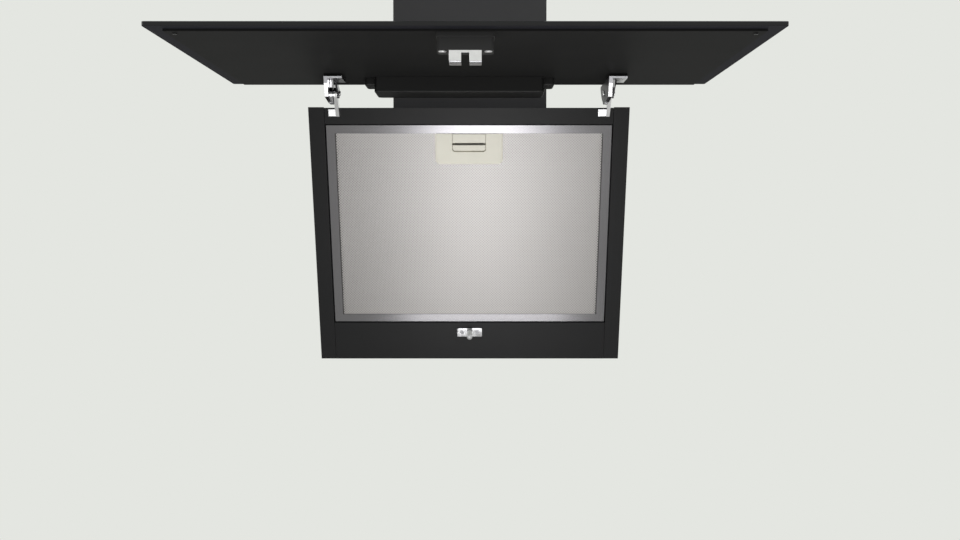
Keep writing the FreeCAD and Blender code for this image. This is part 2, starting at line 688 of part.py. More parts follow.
def blade():
    """One forward-swept blade, folded once, from end ring to end ring."""
    half = FAN_HALF_WIDTH - FAN_RING
    inner = FAN_RADIUS - BLADE_DEPTH
    turn = math.degrees(BLADE_THICKNESS / FAN_RADIUS)

    def at(radius, degrees):
        angle = math.radians(degrees)
        return V(-half, FAN_Y + radius * math.cos(angle), FAN_HEIGHT + radius * math.sin(angle))

    middle = (inner + FAN_RADIUS) / 2
    lead = [at(inner, 0), at(middle, BLADE_SWEEP_DEG / 4), at(FAN_RADIUS, BLADE_SWEEP_DEG)]
    trail = [at(inner, turn), at(middle, BLADE_SWEEP_DEG / 4 + turn), at(FAN_RADIUS, BLADE_SWEEP_DEG + turn)]
    outline = Part.makePolygon(lead + trail[::-1] + lead[:1])
    return Part.Face(outline).extrude(V(2 * half, 0, 0))


def impeller():
    """Fan wheel: middle disc with a hub, blades through it, and a ring at each end."""
    ring_inner = FAN_RADIUS - BLADE_DEPTH / 2
    disc = turned([(-FAN_DISC / 2, SHAFT_DIAMETER / 2), (FAN_DISC / 2, SHAFT_DIAMETER / 2),
                   (FAN_DISC / 2, ring_inner), (-FAN_DISC / 2, ring_inner)])
    hub = turned([(-2 * HUB_LENGTH / 3, SHAFT_DIAMETER / 2), (HUB_LENGTH / 3, SHAFT_DIAMETER / 2),
                  (HUB_LENGTH / 3, HUB_RADIUS), (-2 * HUB_LENGTH / 3, HUB_RADIUS)])
    pieces = [hub]
    for x in (-FAN_HALF_WIDTH, FAN_HALF_WIDTH - FAN_RING):
        pieces.append(turned([(x, ring_inner), (x + FAN_RING, ring_inner), (x + FAN_RING, FAN_RADIUS + 1),
                              (x, FAN_RADIUS + 1)]))
    first = blade()
    for index in range(FAN_BLADES):
        copy = first.copy()
        copy.rotate(V(0, FAN_Y, FAN_HEIGHT), V(1, 0, 0), 360.0 * index / FAN_BLADES)
        pieces.append(copy)
    return disc.fuse(pieces)


MOTOR_START = HUB_LENGTH / 3 + MOTOR_HUB_GAP
MOTOR_END = SCROLL_HALF_WIDTH + SCROLL_WALL + SCROLL_WALL + SEAT_GAP
SHAFT_START = -2 * HUB_LENGTH / 3 - 2


def motor():
    """Fan motor with tapered end bells and a bearing bore."""
    bell = MOTOR_RADIUS - MOTOR_BELL
    can = turned([(MOTOR_START, 0), (MOTOR_END, 0), (MOTOR_END, bell), (MOTOR_END - MOTOR_BELL, MOTOR_RADIUS),
                  (MOTOR_START + MOTOR_BELL, MOTOR_RADIUS), (MOTOR_START, bell)])
    bore = rod(SHAFT_DIAMETER / 2 + RUNNING_GAP, V(MOTOR_START - 1, FAN_Y, FAN_HEIGHT), V(1, 0, 0),
               MOTOR_BORE_DEPTH + 1 + SEAT_GAP)
    return can.cut(bore)


def motor_shaft():
    """Shaft from the motor's bearings through the impeller's hub."""
    return rod(SHAFT_DIAMETER / 2, V(SHAFT_START, FAN_Y, FAN_HEIGHT), V(1, 0, 0),
               MOTOR_START + MOTOR_BORE_DEPTH - SHAFT_START)


def motor_mount():
    """Spider that carries the motor from the scroll's right side, on three feet."""
    foot_in = INLET_RADIUS + INLET_LIP + SEAT_GAP
    foot_out = foot_in + MOUNT_FOOT
    side = SCROLL_HALF_WIDTH + SCROLL_WALL
    plate = rod(MOTOR_RADIUS, V(MOTOR_END, FAN_Y, FAN_HEIGHT), V(1, 0, 0), MOUNT_SHEET)
    pieces = []
    for index in range(MOUNT_ARMS):
        y0 = FAN_Y - MOUNT_ARM_WIDTH / 2
        y1 = FAN_Y + MOUNT_ARM_WIDTH / 2
        arm = box(MOTOR_END, MOTOR_END + MOUNT_SHEET, y0, y1, FAN_HEIGHT, FAN_HEIGHT + foot_out)
        foot = box(side, MOTOR_END, y0, y1, FAN_HEIGHT + foot_in, FAN_HEIGHT + foot_out)
        for piece in (arm, foot):
            piece.rotate(V(0, FAN_Y, FAN_HEIGHT), V(1, 0, 0), 180 + 360.0 * index / MOUNT_ARMS)
            pieces.append(piece)
    return joined(plate, *pieces)


BOX_Y1 = -BOX_FROM_WALL
BOX_Y0 = BOX_Y1 - BOX_LENGTH
BOX_Z1 = Z_TOP - BOX_BELOW_TOP
BOX_Z0 = BOX_Z1 - BOX_HEIGHT
BOX_X0 = -INNER_HALF
BOX_X1 = BOX_X0 + BOX_DEPTH


def electronics_box():
    """Box for the supply and relays, on the inside of the left side panel."""
    outer = box(BOX_X0, BOX_X1, BOX_Y0, BOX_Y1, BOX_Z0, BOX_Z1)
    return outer.cut(box(BOX_X0 + BOX_WALL, BOX_X1, BOX_Y0 + BOX_WALL, BOX_Y1 - BOX_WALL,
                         BOX_Z0 + BOX_WALL, BOX_Z1 - BOX_WALL))


def electronics_lid():
    """Lid of the electronics box, with a rim that enters it."""
    rim = BOX_WALL + SEAT_GAP
    plate = box(BOX_X1, BOX_X1 + BOX_WALL, BOX_Y0, BOX_Y1, BOX_Z0, BOX_Z1)
    plug = box(BOX_X1 - BOX_WALL, BOX_X1, BOX_Y0 + rim, BOX_Y1 - rim, BOX_Z0 + rim, BOX_Z1 - rim)
    return joined(plate, plug)


def supply_board():
    """Supply board on four standoffs in the electronics box, with its transformer and relays."""
    x0 = BOX_X0 + BOX_WALL + SUPPLY_STANDOFF
    x1 = x0 + BOARD_THICKNESS
    y0 = BOX_Y0 + SUPPLY_INSET
    y1 = BOX_Y1 - SUPPLY_INSET
    z0 = BOX_Z0 + SUPPLY_INSET
    z1 = BOX_Z1 - SUPPLY_INSET
    board = box(x0, x1, y0, y1, z0, z1)
    pieces = [box(x1, x1 + TRANSFORMER_DEPTH, y0 + SUPPLY_INSET, y0 + SUPPLY_INSET + TRANSFORMER_LENGTH,
                  z0 + SUPPLY_INSET, z0 + SUPPLY_INSET + TRANSFORMER_HEIGHT)]
    for index in range(RELAY_COUNT):
        z = z0 + SUPPLY_INSET + index * (RELAY_SIZE + SUPPLY_INSET)
        relay_y = y1 - SUPPLY_INSET - RELAY_SIZE
        pieces.append(box(x1, x1 + RELAY_SIZE, relay_y, relay_y + RELAY_SIZE, z, z + RELAY_SIZE))
    for y in (y0 + SUPPLY_STANDOFF_INSET / 2, y1 - SUPPLY_STANDOFF_INSET / 2):
        for z in (z0 + SUPPLY_STANDOFF_INSET / 2, z1 - SUPPLY_STANDOFF_INSET / 2):
            foot = V(x0 - SUPPLY_STANDOFF, y, z)
            pieces.append(rod(SUPPLY_STANDOFF_INSET / 4, foot, V(1, 0, 0), SUPPLY_STANDOFF))
    return joined(board, *pieces)


def cable_gland():
    """Gland through the top panel, where the mains lead enters."""
    base = V(GLAND_X, GLAND_Y, Z_TOP)
    up = V(0, 0, 1)
    cap = rod(GLAND_RADIUS + GLAND_FLANGE, base, up, GLAND_FLANGE_HEIGHT)
    tube = rod(GLAND_RADIUS, base - V(0, 0, GLAND_LENGTH), up, 2 * GLAND_LENGTH)
    under = base - V(0, 0, SHEET + GLAND_FLANGE_HEIGHT)
    nut = rod(GLAND_RADIUS + GLAND_FLANGE, under, up, GLAND_FLANGE_HEIGHT)
    bore = rod(GLAND_BORE, base - V(0, 0, 2 * GLAND_LENGTH), up, 4 * GLAND_LENGTH)
    return joined(cap, tube, nut).cut(bore)


def lamp_housing(x):
    """Cup of one lamp, with a rim under the bottom panel."""
    base = V(x, LAMP_Y, Z_BOTTOM)
    up = V(0, 0, 1)
    rim = rod(LAMP_RADIUS + LAMP_RIM, base - V(0, 0, LAMP_RIM_HEIGHT), up, LAMP_RIM_HEIGHT)
    cup = rod(LAMP_RADIUS, base, up, LAMP_HEIGHT)
    hollow = rod(LAMP_RADIUS - LAMP_WALL, base - V(0, 0, LAMP_RIM_HEIGHT), up,
                 LAMP_HEIGHT + LAMP_RIM_HEIGHT - LAMP_WALL)
    return joined(rim, cup).cut(hollow)


def lamp_lens(x):
    """Lens flush with the lamp's rim."""
    return rod(LAMP_RADIUS - LAMP_WALL - SCREW_GAP, V(x, LAMP_Y, Z_BOTTOM - LAMP_RIM_HEIGHT), V(0, 0, 1),
               LENS_THICKNESS)


def countersunk(x, gap):
    """Strike screw with a flush head, or its hole when a gap is added."""
    head = STRIKE_SCREW_HEAD / 2 + gap
    shank = STRIKE_SCREW_SHANK / 2 + gap
    cone = Part.makeCone(head, shank, head - shank, V(x, -STRIKE_THICKNESS, -STUD_T), V(0, 1, 0))
    body = rod(shank, V(x, -STRIKE_THICKNESS, -STUD_T), V(0, 1, 0), STRIKE_SCREW_LENGTH)
    return on_slope(joined(cone, body))


def strike_plate():
    """Plate on the bottom bar with two countersunk holes."""
    half = STRIKE_WIDTH / 2
    t0 = STUD_T - STRIKE_HEIGHT / 2
    t1 = STUD_T + STRIKE_HEIGHT / 2
    plate = slope_plate(rectangle(-half, half, t0, t1, STRIKE_CORNER), -STRIKE_THICKNESS, 0)
    for x in (-STRIKE_SCREW_X, STRIKE_SCREW_X):
        plate = plate.cut(countersunk(x, SCREW_GAP))
    return plate


def strike_stud():
    """Stud square to the strike plate, with a tapered nose."""
    foot = -STRIKE_THICKNESS
    shoulder = foot - STUD_LENGTH + STUD_NOSE
    body = rod(STUD_DIAMETER / 2, V(0, foot, -STUD_T), V(0, -1, 0), STUD_LENGTH - STUD_NOSE)
    tip = V(0, shoulder, -STUD_T)
    nose = Part.makeCone(STUD_DIAMETER / 2, STUD_TIP / 2, STUD_NOSE, tip, V(0, -1, 0))
    return on_slope(joined(body, nose))


def strike_screws():
    """The strike plate's two screws."""
    return Part.makeCompound([countersunk(x, 0) for x in (-STRIKE_SCREW_X, STRIKE_SCREW_X)])


def hinge_arm(centre):
    """Arm fixed on the top bar: a tab on its front and a plate that rises to the hinge pin."""
    x0 = centre + EAR_THICKNESS / 2 + SIDE_GAP
    x1 = x0 + ARM_THICKNESS
    foot = V(-ARM_BOSS / 3, ARM_FOOT / 3, 0)
    boss = V(-PIVOT_OUT, -PIVOT_ABOVE, 0)
    along = (boss - foot).normalize()
    across = V(along.y, -along.x, 0) * ARM_BOSS
    outside = boss + across
    inside = boss - across
    if outside.x > inside.x:
        outside, inside = inside, outside
    corners = [(0, ARM_FOOT, 0), (-2 * ARM_BOSS / 3, ARM_FOOT, ARM_BOSS / 4), (outside.x, outside.y, 0),
               (inside.x, inside.y, 0), (0, 0, 0)]
    plate = slope_prism(corners, x0, x1)
    round_end = rod(ARM_BOSS, V(x0, PIVOT_Y, PIVOT_Z), V(1, 0, 0), ARM_THICKNESS)
    tab = slope_box(x0 - ARM_TAB_WIDTH, x0, -ARM_TAB_THICKNESS, 0, ARM_TAB_THICKNESS, ARM_FOOT)
    hole = rod(PIN_DIAMETER / 2 + PIN_FIT, V(x0 - 1, PIVOT_Y, PIVOT_Z), V(1, 0, 0), ARM_THICKNESS + 2)
    return joined(plate, round_end, tab).cut(hole)


def cheek_start(centre):
    """Inner face of a bracket's second ear, beyond the arm."""
    return centre + EAR_THICKNESS / 2 + 2 * SIDE_GAP + ARM_THICKNESS


def hinge_pin(centre):
    """Pin through ear, arm and cheek, with a head outside the ear and a collar outside the cheek."""
    start = centre - EAR_THICKNESS / 2 - SIDE_GAP
    end = cheek_start(centre) + CHEEK_THICKNESS + SIDE_GAP
    head = rod(PIN_HEAD / 2, V(start - PIN_HEAD_HEIGHT, PIVOT_Y, PIVOT_Z), V(1, 0, 0), PIN_HEAD_HEIGHT)
    shank = rod(PIN_DIAMETER / 2, V(start, PIVOT_Y, PIVOT_Z), V(1, 0, 0), end + PIN_END - start)
    collar = rod(PIN_HEAD / 2, V(end, PIVOT_Y, PIVOT_Z), V(1, 0, 0), PIN_HEAD_HEIGHT)
    return joined(head, shank, collar)


def hinge_bracket(centre):
    """Bracket under the flap: plate, sickle-shaped ear that turns on the pin, short cheek beyond the arm."""
    x0 = centre - EAR_THICKNESS / 2
    plate_top = HINGE_SPACER
    plate_under = plate_top + HINGE_PLATE_THICKNESS
    nose = EAR_REACH
    plate = flap_box(x0, x0 + HINGE_PLATE_WIDTH, HINGE_PLATE_START, nose, plate_top, plate_under)
    deep = EAR_DEPTH
    outline = [(EAR_START, plate_top, 0), (nose, plate_top, 0), (nose, deep - 10, 4),
               (nose - 6, deep - 5, 6), (PIVOT_FROM_EDGE + 22, deep, 30), (PIVOT_FROM_EDGE - 12, deep, 18),
               (EAR_START + 14, plate_under + 16, 12), (EAR_START, plate_under + 2, 2)]
    ear = flap_prism(outline, x0, x0 + EAR_THICKNESS)
    cheek_x = cheek_start(centre)
    web = [(HINGE_PLATE_START, plate_top, 0), (HINGE_PLATE_START + CHEEK_ROOT, plate_top, 0),
           (PIVOT_FROM_EDGE, PIVOT_DROP + CHEEK_BOSS, 0), (PIVOT_FROM_EDGE, PIVOT_DROP - CHEEK_BOSS, 0)]
    cheek = flap_prism(web, cheek_x, cheek_x + CHEEK_THICKNESS)
    boss = rod(CHEEK_BOSS, V(cheek_x, PIVOT_Y, PIVOT_Z), V(1, 0, 0), CHEEK_THICKNESS)
    bracket = joined(plate, ear, cheek, boss)
    bracket = bracket.cut(rod(PIN_DIAMETER / 2 + RUNNING_GAP, V(x0 - 1, PIVOT_Y, PIVOT_Z), V(1, 0, 0),
                              HINGE_PLATE_WIDTH))
    for hole in hinge_screws(centre, SCREW_GAP):
        bracket = bracket.cut(hole)
    return bracket


def hinge_spacer(centre):
    """Pad between the flap's inner panel and the hinge bracket."""
    x0 = centre - EAR_THICKNESS / 2
    return flap_box(x0, x0 + HINGE_PLATE_WIDTH, HINGE_PLATE_START + 2, EAR_REACH - 4, 0, HINGE_SPACER)


def hinge_screws(centre, gap):
    """The two flush screws that hold a bracket to the flap, or their holes when a gap is added."""
    x = centre - EAR_THICKNESS / 2 + HINGE_PLATE_WIDTH - HINGE_SCREW_HEAD
    under = HINGE_SPACER + HINGE_PLATE_THICKNESS
    head = HINGE_SCREW_HEAD / 2 + gap
    shank = HINGE_SCREW_SHANK / 2 + gap
    ends = (HINGE_PLATE_START + HINGE_SCREW_INSET, EAR_REACH - HINGE_SCREW_INSET)
    places = [flap_point(x, u, under) for u in ends]
    return [Part.makeCone(head, shank, HINGE_PLATE_THICKNESS, place, V(0, 0, 1)) for place in places]


def glass_panel():
    """Glass of the flap, with ground corners."""
    half = GLASS_WIDTH / 2
    return flap_plate(rectangle(-half, half, 0, GLASS_LENGTH, GLASS_CORNER),
                      -PANEL_DEPTH - GLASS_THICKNESS, -PANEL_DEPTH)


TOUCH_X0 = (CONTROL_LEFT + CONTROL_RIGHT - TOUCH_WIDTH) / 2
TOUCH_X1 = TOUCH_X0 + TOUCH_WIDTH


def inner_panel():
    """Sheet tray under the glass, with a window for the touch strip."""
    outer = flap_box(-PANEL_HALF, PANEL_HALF, PANEL_REAR_MARGIN, PANEL_END, -PANEL_DEPTH, 0)
    hollow = flap_box(-PANEL_HALF + PANEL_SHEET, PANEL_HALF - PANEL_SHEET, PANEL_REAR_MARGIN + PANEL_SHEET,
                      PANEL_END - PANEL_SHEET, -PANEL_DEPTH, -PANEL_SHEET)
    window = flap_box(TOUCH_X0 - TOUCH_GAP, TOUCH_X1 + TOUCH_GAP,
                      TOUCH_START - TOUCH_GAP, TOUCH_END + TOUCH_GAP, -PANEL_DEPTH, 0)
    return outer.cut(hollow).cut(window)


def bonding_strips():
    """Three strips that bond the inner panel to the glass."""
    half = PANEL_HALF - STRIP_END
    first = PANEL_REAR_MARGIN + STRIP_WIDTH / 2
    last = PANEL_END - STRIP_WIDTH * 3 / 2
    places = (first, (first + last) / 2, last)
    strips = [flap_box(-half, half, u, u + STRIP_WIDTH, -PANEL_DEPTH, -PANEL_SHEET) for u in places]
    return Part.makeCompound(strips)


def panel_screws():
    """Screw heads in the inner panel's two front corners."""
    x = PANEL_HALF - PANEL_SCREW_SIDE
    u = PANEL_END - PANEL_SCREW_INSET
    heads = [flap_rod(PANEL_SCREW_HEAD / 2, side * x, u, 0, PANEL_SCREW_HEIGHT) for side in (-1, 1)]
    return Part.makeCompound(heads)


def control_housing():
    """Moulded housing for the controls, with a fixing lug at each end and posts for its board."""
    shell = flap_plate(rectangle(CONTROL_LEFT, CONTROL_RIGHT, CONTROL_START, CONTROL_END, CONTROL_CORNER),
                       0, CONTROL_HEIGHT)
    bottom = UNDER_Z - CONTROL_HEIGHT
    shell = rounded_where(shell, CONTROL_EDGE, lambda p: near(p.z, bottom))
    lugs = []
    for x0, x1 in ((CONTROL_LEFT - LUG_WIDTH, CONTROL_LEFT), (CONTROL_RIGHT, CONTROL_RIGHT + LUG_WIDTH)):
        outline = rectangle(x0, x1, LUG_START, LUG_END, 0)
        outer = 0 if x1 == CONTROL_LEFT else 1
        rounded = [(x, u, LUG_CORNER if x == (x0, x1)[outer] else 0) for x, u, _ in outline]
        lugs.append(flap_plate(rounded, 0, LUG_HEIGHT))
    cavity = flap_box(CONTROL_LEFT + CONTROL_WALL, CONTROL_RIGHT - CONTROL_WALL, CONTROL_START + CONTROL_WALL,
                      CONTROL_END - CONTROL_WALL, 0, CONTROL_HEIGHT - CONTROL_WALL)
    posts = []
    seat = BOARD_DROP + BOARD_THICKNESS
    floor = CONTROL_HEIGHT - CONTROL_WALL
    for x in (CONTROL_LEFT + BOARD_POST_INSET, CONTROL_RIGHT - BOARD_POST_INSET):
        for u in (CONTROL_START + BOARD_POST_INSET, CONTROL_END - BOARD_POST_INSET):
            posts.append(flap_box(x - BOARD_POST / 2, x + BOARD_POST / 2, u - BOARD_POST / 2,
                                  u + BOARD_POST / 2, seat, floor))
    return joined(joined(shell, *lugs).cut(cavity), *posts)


def control_board():
    """Control board on the housing's posts."""
    return flap_box(CONTROL_LEFT + BOARD_INSET, CONTROL_RIGHT - BOARD_INSET, CONTROL_START + BOARD_INSET,
                    CONTROL_END - BOARD_INSET, BOARD_DROP, BOARD_DROP + BOARD_THICKNESS)


def touch_strip():
    """Touch sensor block between the board and the back of the glass."""
    return flap_box(TOUCH_X0, TOUCH_X1, TOUCH_START, TOUCH_END, -PANEL_DEPTH, BOARD_DROP)


def catch_block():
    """Catch under the flap's free edge: flange, rounder body below it, socket for the stud's nose."""
    half = CATCH_WIDTH / 2
    rear = PANEL_END - CATCH_DEPTH
    flange = flap_plate(rectangle(-half, half, rear, PANEL_END, CATCH_CORNER), 0, CATCH_FLANGE)
    lower_half = half - CATCH_STEP
    inset = rectangle(-lower_half, lower_half, rear + CATCH_STEP, PANEL_END - FORK_SETBACK, CATCH_ROUND)
    block = joined(flange, flap_plate(inset, 0, CATCH_HEIGHT))
    socket = flap_rod(STUD_DIAMETER / 2 + SOCKET_GAP, 0, STUD_U, CATCH_HEIGHT - SOCKET_DEPTH, CATCH_HEIGHT)
    return block.cut(socket)


def catch_fork():
    """Bent sheet fork: a leg under the block, two prongs down, and two lips beside the stud."""
    half = FORK_WIDTH / 2
    top = CATCH_HEIGHT
    low = CATCH_HEIGHT + FORK_DROP
    leg_end = STUD_U + STUD_DIAMETER / 2 + SOCKET_GAP
    leg = flap_box(-half, half, leg_end, FORK_START, top, top + FORK_SHEET)
    prongs = flap_box(-half, half, FORK_START - FORK_SHEET, FORK_START, top, low)
    lips = flap_box(-half, half, FORK_END, FORK_START, low - FORK_SHEET, low)
    slot = flap_box(-FORK_SLOT, FORK_SLOT, FORK_END - 1, FORK_START + 1, top + FORK_BAR, low + 1)
    fork = joined(leg, prongs, lips)
    front = EDGE_Y - FORK_START
    under = UNDER_Z - low
    fork = rounded_where(fork, FORK_BEND, lambda p: near(p.y, front) and near(p.z, under))
    fork = rounded_where(fork, FORK_BEND - FORK_SHEET,
                         lambda p: near(p.y, front + FORK_SHEET) and near(p.z, under + FORK_SHEET))
    return fork.cut(slot)


def catch_screws():
    """Heads of the two screws that hold the catch block."""
    u = PANEL_END - CATCH_SCREW_INSET
    return Part.makeCompound([flap_rod(CATCH_SCREW_HEAD / 2, side * CATCH_SCREW_X, u, CATCH_HEIGHT,
                                       CATCH_HEIGHT + CATCH_SCREW_HEIGHT) for side in (-1, 1)])


def filter_frame():
    """Folded frame of the filter: an open channel all round, two tongues below, a bolt hole above."""
    skin = FILTER_SHEET
    outer = slope_box(-FILTER_HALF, FILTER_HALF, FILTER_FRONT, FILTER_BACK, FILTER_TOP, FILTER_BOTTOM)
    window = slope_box(-FILTER_HALF + FILTER_BORDER, FILTER_HALF - FILTER_BORDER, FILTER_FRONT, FILTER_BACK,
                       WINDOW_TOP, FILTER_BOTTOM - FILTER_BORDER)
    channel = slope_box(-FILTER_HALF + skin, FILTER_HALF - skin, FILTER_FRONT + skin, FILTER_BACK - skin,
                        FILTER_TOP + skin, FILTER_BOTTOM - skin)
    bolt_half = BOLT_WIDTH / 2 + LATCH_SIDE_GAP
    bolt = slope_box(-bolt_half, bolt_half, BOLT_FRONT - LATCH_SIDE_GAP, LATCH_BACK + LATCH_SIDE_GAP,
                     FILTER_TOP - skin, FILTER_TOP + 2 * skin)
    frame = outer.cut(window).cut(channel).cut(bolt)
    low = BOTTOM_BAR_TOP + SHEET + TONGUE_PAST_BAR
    d0 = TONGUE_DEPTH - TONGUE_THICKNESS / 2
    d1 = TONGUE_DEPTH + TONGUE_THICKNESS / 2
    tongues = [slope_box(x - TONGUE_WIDTH / 2, x + TONGUE_WIDTH / 2, d0, d1, FILTER_BOTTOM - skin, low)
               for x in (-TONGUE_X, TONGUE_X)]
    return joined(frame, *tongues)


def filter_layer(d0, d1, notched):
    """One layer in the frame's channel, cut away behind the handle where notched."""
    inset = FILTER_SHEET + MESH_FIT
    half = FILTER_HALF - inset
    layer = slope_box(-half, half, d0, d1, FILTER_TOP + inset, FILTER_BOTTOM - inset)
    return layer.cut(handle_space(d0, d1)) if notched else layer


def handle_space(d0, d1):
    """Room for the handle's body and the latch bolt in a layer of the filter."""
    half = HANDLE_HALF - HANDLE_LIP + MESH_FIT
    return slope_box(-half, half, d0, d1, 0, HANDLE_BOTTOM - HANDLE_LIP + MESH_FIT)


def filter_core(d0, d1):
    """Corrugated mesh between the two flat ones, its folds running up and down."""
    inset = FILTER_SHEET + MESH_FIT
    half = FILTER_HALF - inset
    pitch = 2 * half / CORE_FOLDS
    deep = d1 - CORE_SHEET
    top = -FILTER_TOP - inset
    front = [V(-half + index * pitch, deep if index % 2 else d0, top) for index in range(CORE_FOLDS + 1)]
    back = [point + V(0, CORE_SHEET, 0) for point in reversed(front)]
    outline = Part.makePolygon(front + back + front[:1])
    core = Part.Face(outline).extrude(V(0, 0, FILTER_TOP - FILTER_BOTTOM + 2 * inset))
    return on_slope(core).cut(handle_space(d0, d1))


def filter_handle():
    """Moulded handle with a latch pocket and a grip bar under it, outlined by a groove."""
    low = HANDLE_BOTTOM
    cut = HANDLE_CHAMFER
    rim = HANDLE_FACE + HANDLE_BEVEL_DEPTH
    sections = []
    for inset in (0, HANDLE_BEVEL):
        side = HANDLE_HALF - inset
        end = low - inset
        outline = [(-side, WINDOW_TOP, 0), (side, WINDOW_TOP, 0), (side, end - cut, 0), (side - cut, end, 0),
                   (-side + cut, end, 0), (-side, end - cut, 0)]
        sections.append(outline)
    base = slope_plate(sections[0], rim, MESH_FRONT)
    wires = [Part.makePolygon([V(x, depth, -t) for x, t, _ in outline + outline[:1]])
             for outline, depth in zip(sections, (rim, HANDLE_FACE))]
    face = joined(base, on_slope(Part.makeLoft(wires, True, True)))
    half = HANDLE_HALF - HANDLE_LIP
    body = slope_box(-half, half, MESH_FRONT, MESH_FRONT + HANDLE_BODY_DEPTH, WINDOW_TOP, low - HANDLE_LIP)
    pocket_half = LATCH_WIDTH / 2 + LATCH_SIDE_GAP
    pocket_back = LATCH_BACK + LATCH_SIDE_GAP
    pocket = slope_box(-pocket_half, pocket_half, HANDLE_FACE, pocket_back, WINDOW_TOP, GRIP_TOP)
    grip_low = GRIP_TOP + GRIP_HEIGHT
    ring = slope_plate(rectangle(-pocket_half, pocket_half, LATCH_TOP, grip_low, GRIP_CORNER),
                       HANDLE_FACE, HANDLE_FACE + GRIP_GROOVE_DEPTH)
    bar_half = pocket_half - GRIP_GROOVE / 2
    bar = rectangle(-bar_half, bar_half, LATCH_TOP, grip_low - GRIP_GROOVE, GRIP_CORNER - 1)
    ring = ring.cut(slope_plate(bar, HANDLE_FACE, HANDLE_FACE + GRIP_GROOVE_DEPTH))
    slot_half = pocket_half - HANDLE_SLOT_END
    body_back = MESH_FRONT + HANDLE_BODY_DEPTH
    slot = slope_box(-slot_half, slot_half, pocket_back, body_back, LATCH_BOTTOM, GRIP_TOP)
    return joined(face, body).cut(pocket).cut(ring).cut(slot)


def filter_latch():
    """Latch that slides down in the handle, with a bolt up through the frame."""
    half = LATCH_WIDTH / 2
    slider = slope_box(-half, half, LATCH_FACE, LATCH_BACK, LATCH_TOP, LATCH_BOTTOM)
    bolt = slope_box(-BOLT_WIDTH / 2, BOLT_WIDTH / 2, BOLT_FRONT, LATCH_BACK, BOLT_TIP, LATCH_TOP)
    return joined(slider, bolt)


def all_pieces():
    """Every piece by name."""
    side = side_panel()
    rail = filter_rail()
    scroll = scroll_half()
    ring = inlet_ring()
    core_front = MESH_FRONT + FILTER_SHEET
    core_back = FILTER_BACK - 2 * FILTER_SHEET
    pieces = {
        "back_panel": back_panel(),
        "side_panel_left": mirrored(side),
        "side_panel_right": side,
        "top_panel": top_panel(),
        "bottom_panel": bottom_panel(),
        "front_top_bar": front_top_bar(),
        "front_bottom_bar": front_bottom_bar(),
        "filter_rail_left": mirrored(rail),
        "filter_rail_right": rail,
        "chimney_lower": chimney_lower(),
        "chimney_upper": chimney_upper(),
        "chimney_feet": chimney_feet(),
        "chimney_wall_bracket": chimney_wall_bracket(),
        "outlet_collar": outlet_collar(),
        "damper_rod": damper_rod(),
        "damper_flap_front": damper_flap(-1, [(-KNUCKLE_END, -KNUCKLE_HALF - KNUCKLE_GAP),
                                              (KNUCKLE_HALF + KNUCKLE_GAP, KNUCKLE_END)]),
        "damper_flap_rear": damper_flap(1, [(-KNUCKLE_HALF, KNUCKLE_HALF)]),
        "scroll_left": mirrored(scroll),
        "scroll_right": scroll,
        "inlet_ring_left": mirrored(ring),
        "inlet_ring_right": ring,
        "impeller": impeller(),
        "motor": motor(),
        "motor_shaft": motor_shaft(),
        "motor_mount": motor_mount(),
        "electronics_box": electronics_box(),
        "electronics_lid": electronics_lid(),
        "supply_board": supply_board(),
        "cable_gland": cable_gland(),
        "lamp_housings": Part.makeCompound([lamp_housing(x) for x in (-LAMP_X, LAMP_X)]),
        "lamp_lenses": Part.makeCompound([lamp_lens(x) for x in (-LAMP_X, LAMP_X)]),
        "strike_plate": strike_plate(),
        "strike_stud": strike_stud(),
        "strike_screws": strike_screws(),
        "hinge_spacers": Part.makeCompound([hinge_spacer(c) for c in HINGE_CENTRES.values()]),
        "hinge_screws": Part.makeCompound([s for c in HINGE_CENTRES.values() for s in hinge_screws(c, 0)]),
        "glass_panel": glass_panel(),
        "inner_panel": inner_panel(),
        "bonding_strips": bonding_strips(),
        "panel_screws": panel_screws(),
        "control_housing": control_housing(),
        "control_board": control_board(),
        "touch_strip": touch_strip(),
        "catch_block": catch_block(),
        "catch_fork": catch_fork(),
        "catch_screws": catch_screws(),
        "filter_frame": filter_frame(),
        "filter_mesh_front": filter_layer(MESH_FRONT, core_front, True),
        "filter_core": filter_core(core_front, core_back),
        "filter_mesh_back": filter_layer(core_back, FILTER_BACK - FILTER_SHEET, False),
        "filter_handle": filter_handle(),
        "filter_latch": filter_latch(),
    }
    for name, centre in HINGE_CENTRES.items():
        pieces["hinge_arm_" + name] = hinge_arm(centre)
        pieces["hinge_pin_" + name] = hinge_pin(centre)
        pieces["hinge_bracket_" + name] = hinge_bracket(centre)
    return pieces


os.makedirs("parts", exist_ok=True)
for node, shape in all_pieces().items():
    shape.exportStep("parts/" + node + ".step")
    print(node, "solids", len(shape.Solids), "valid", shape.isValid(), "volume", round(shape.Volume))
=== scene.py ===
"""Looks of an angled wall hood with its glass flap swung open.

Lengths are metres in the hood's own frame: the wall is Y = 0, the hood stands out towards -Y, Z is up.
"""

import json
import math

import bpy
from bpy.props import FloatProperty, FloatVectorProperty, PointerProperty
from bpy.types import NodeSocket, Operator, Panel, PropertyGroup
from mathutils import Matrix, Vector

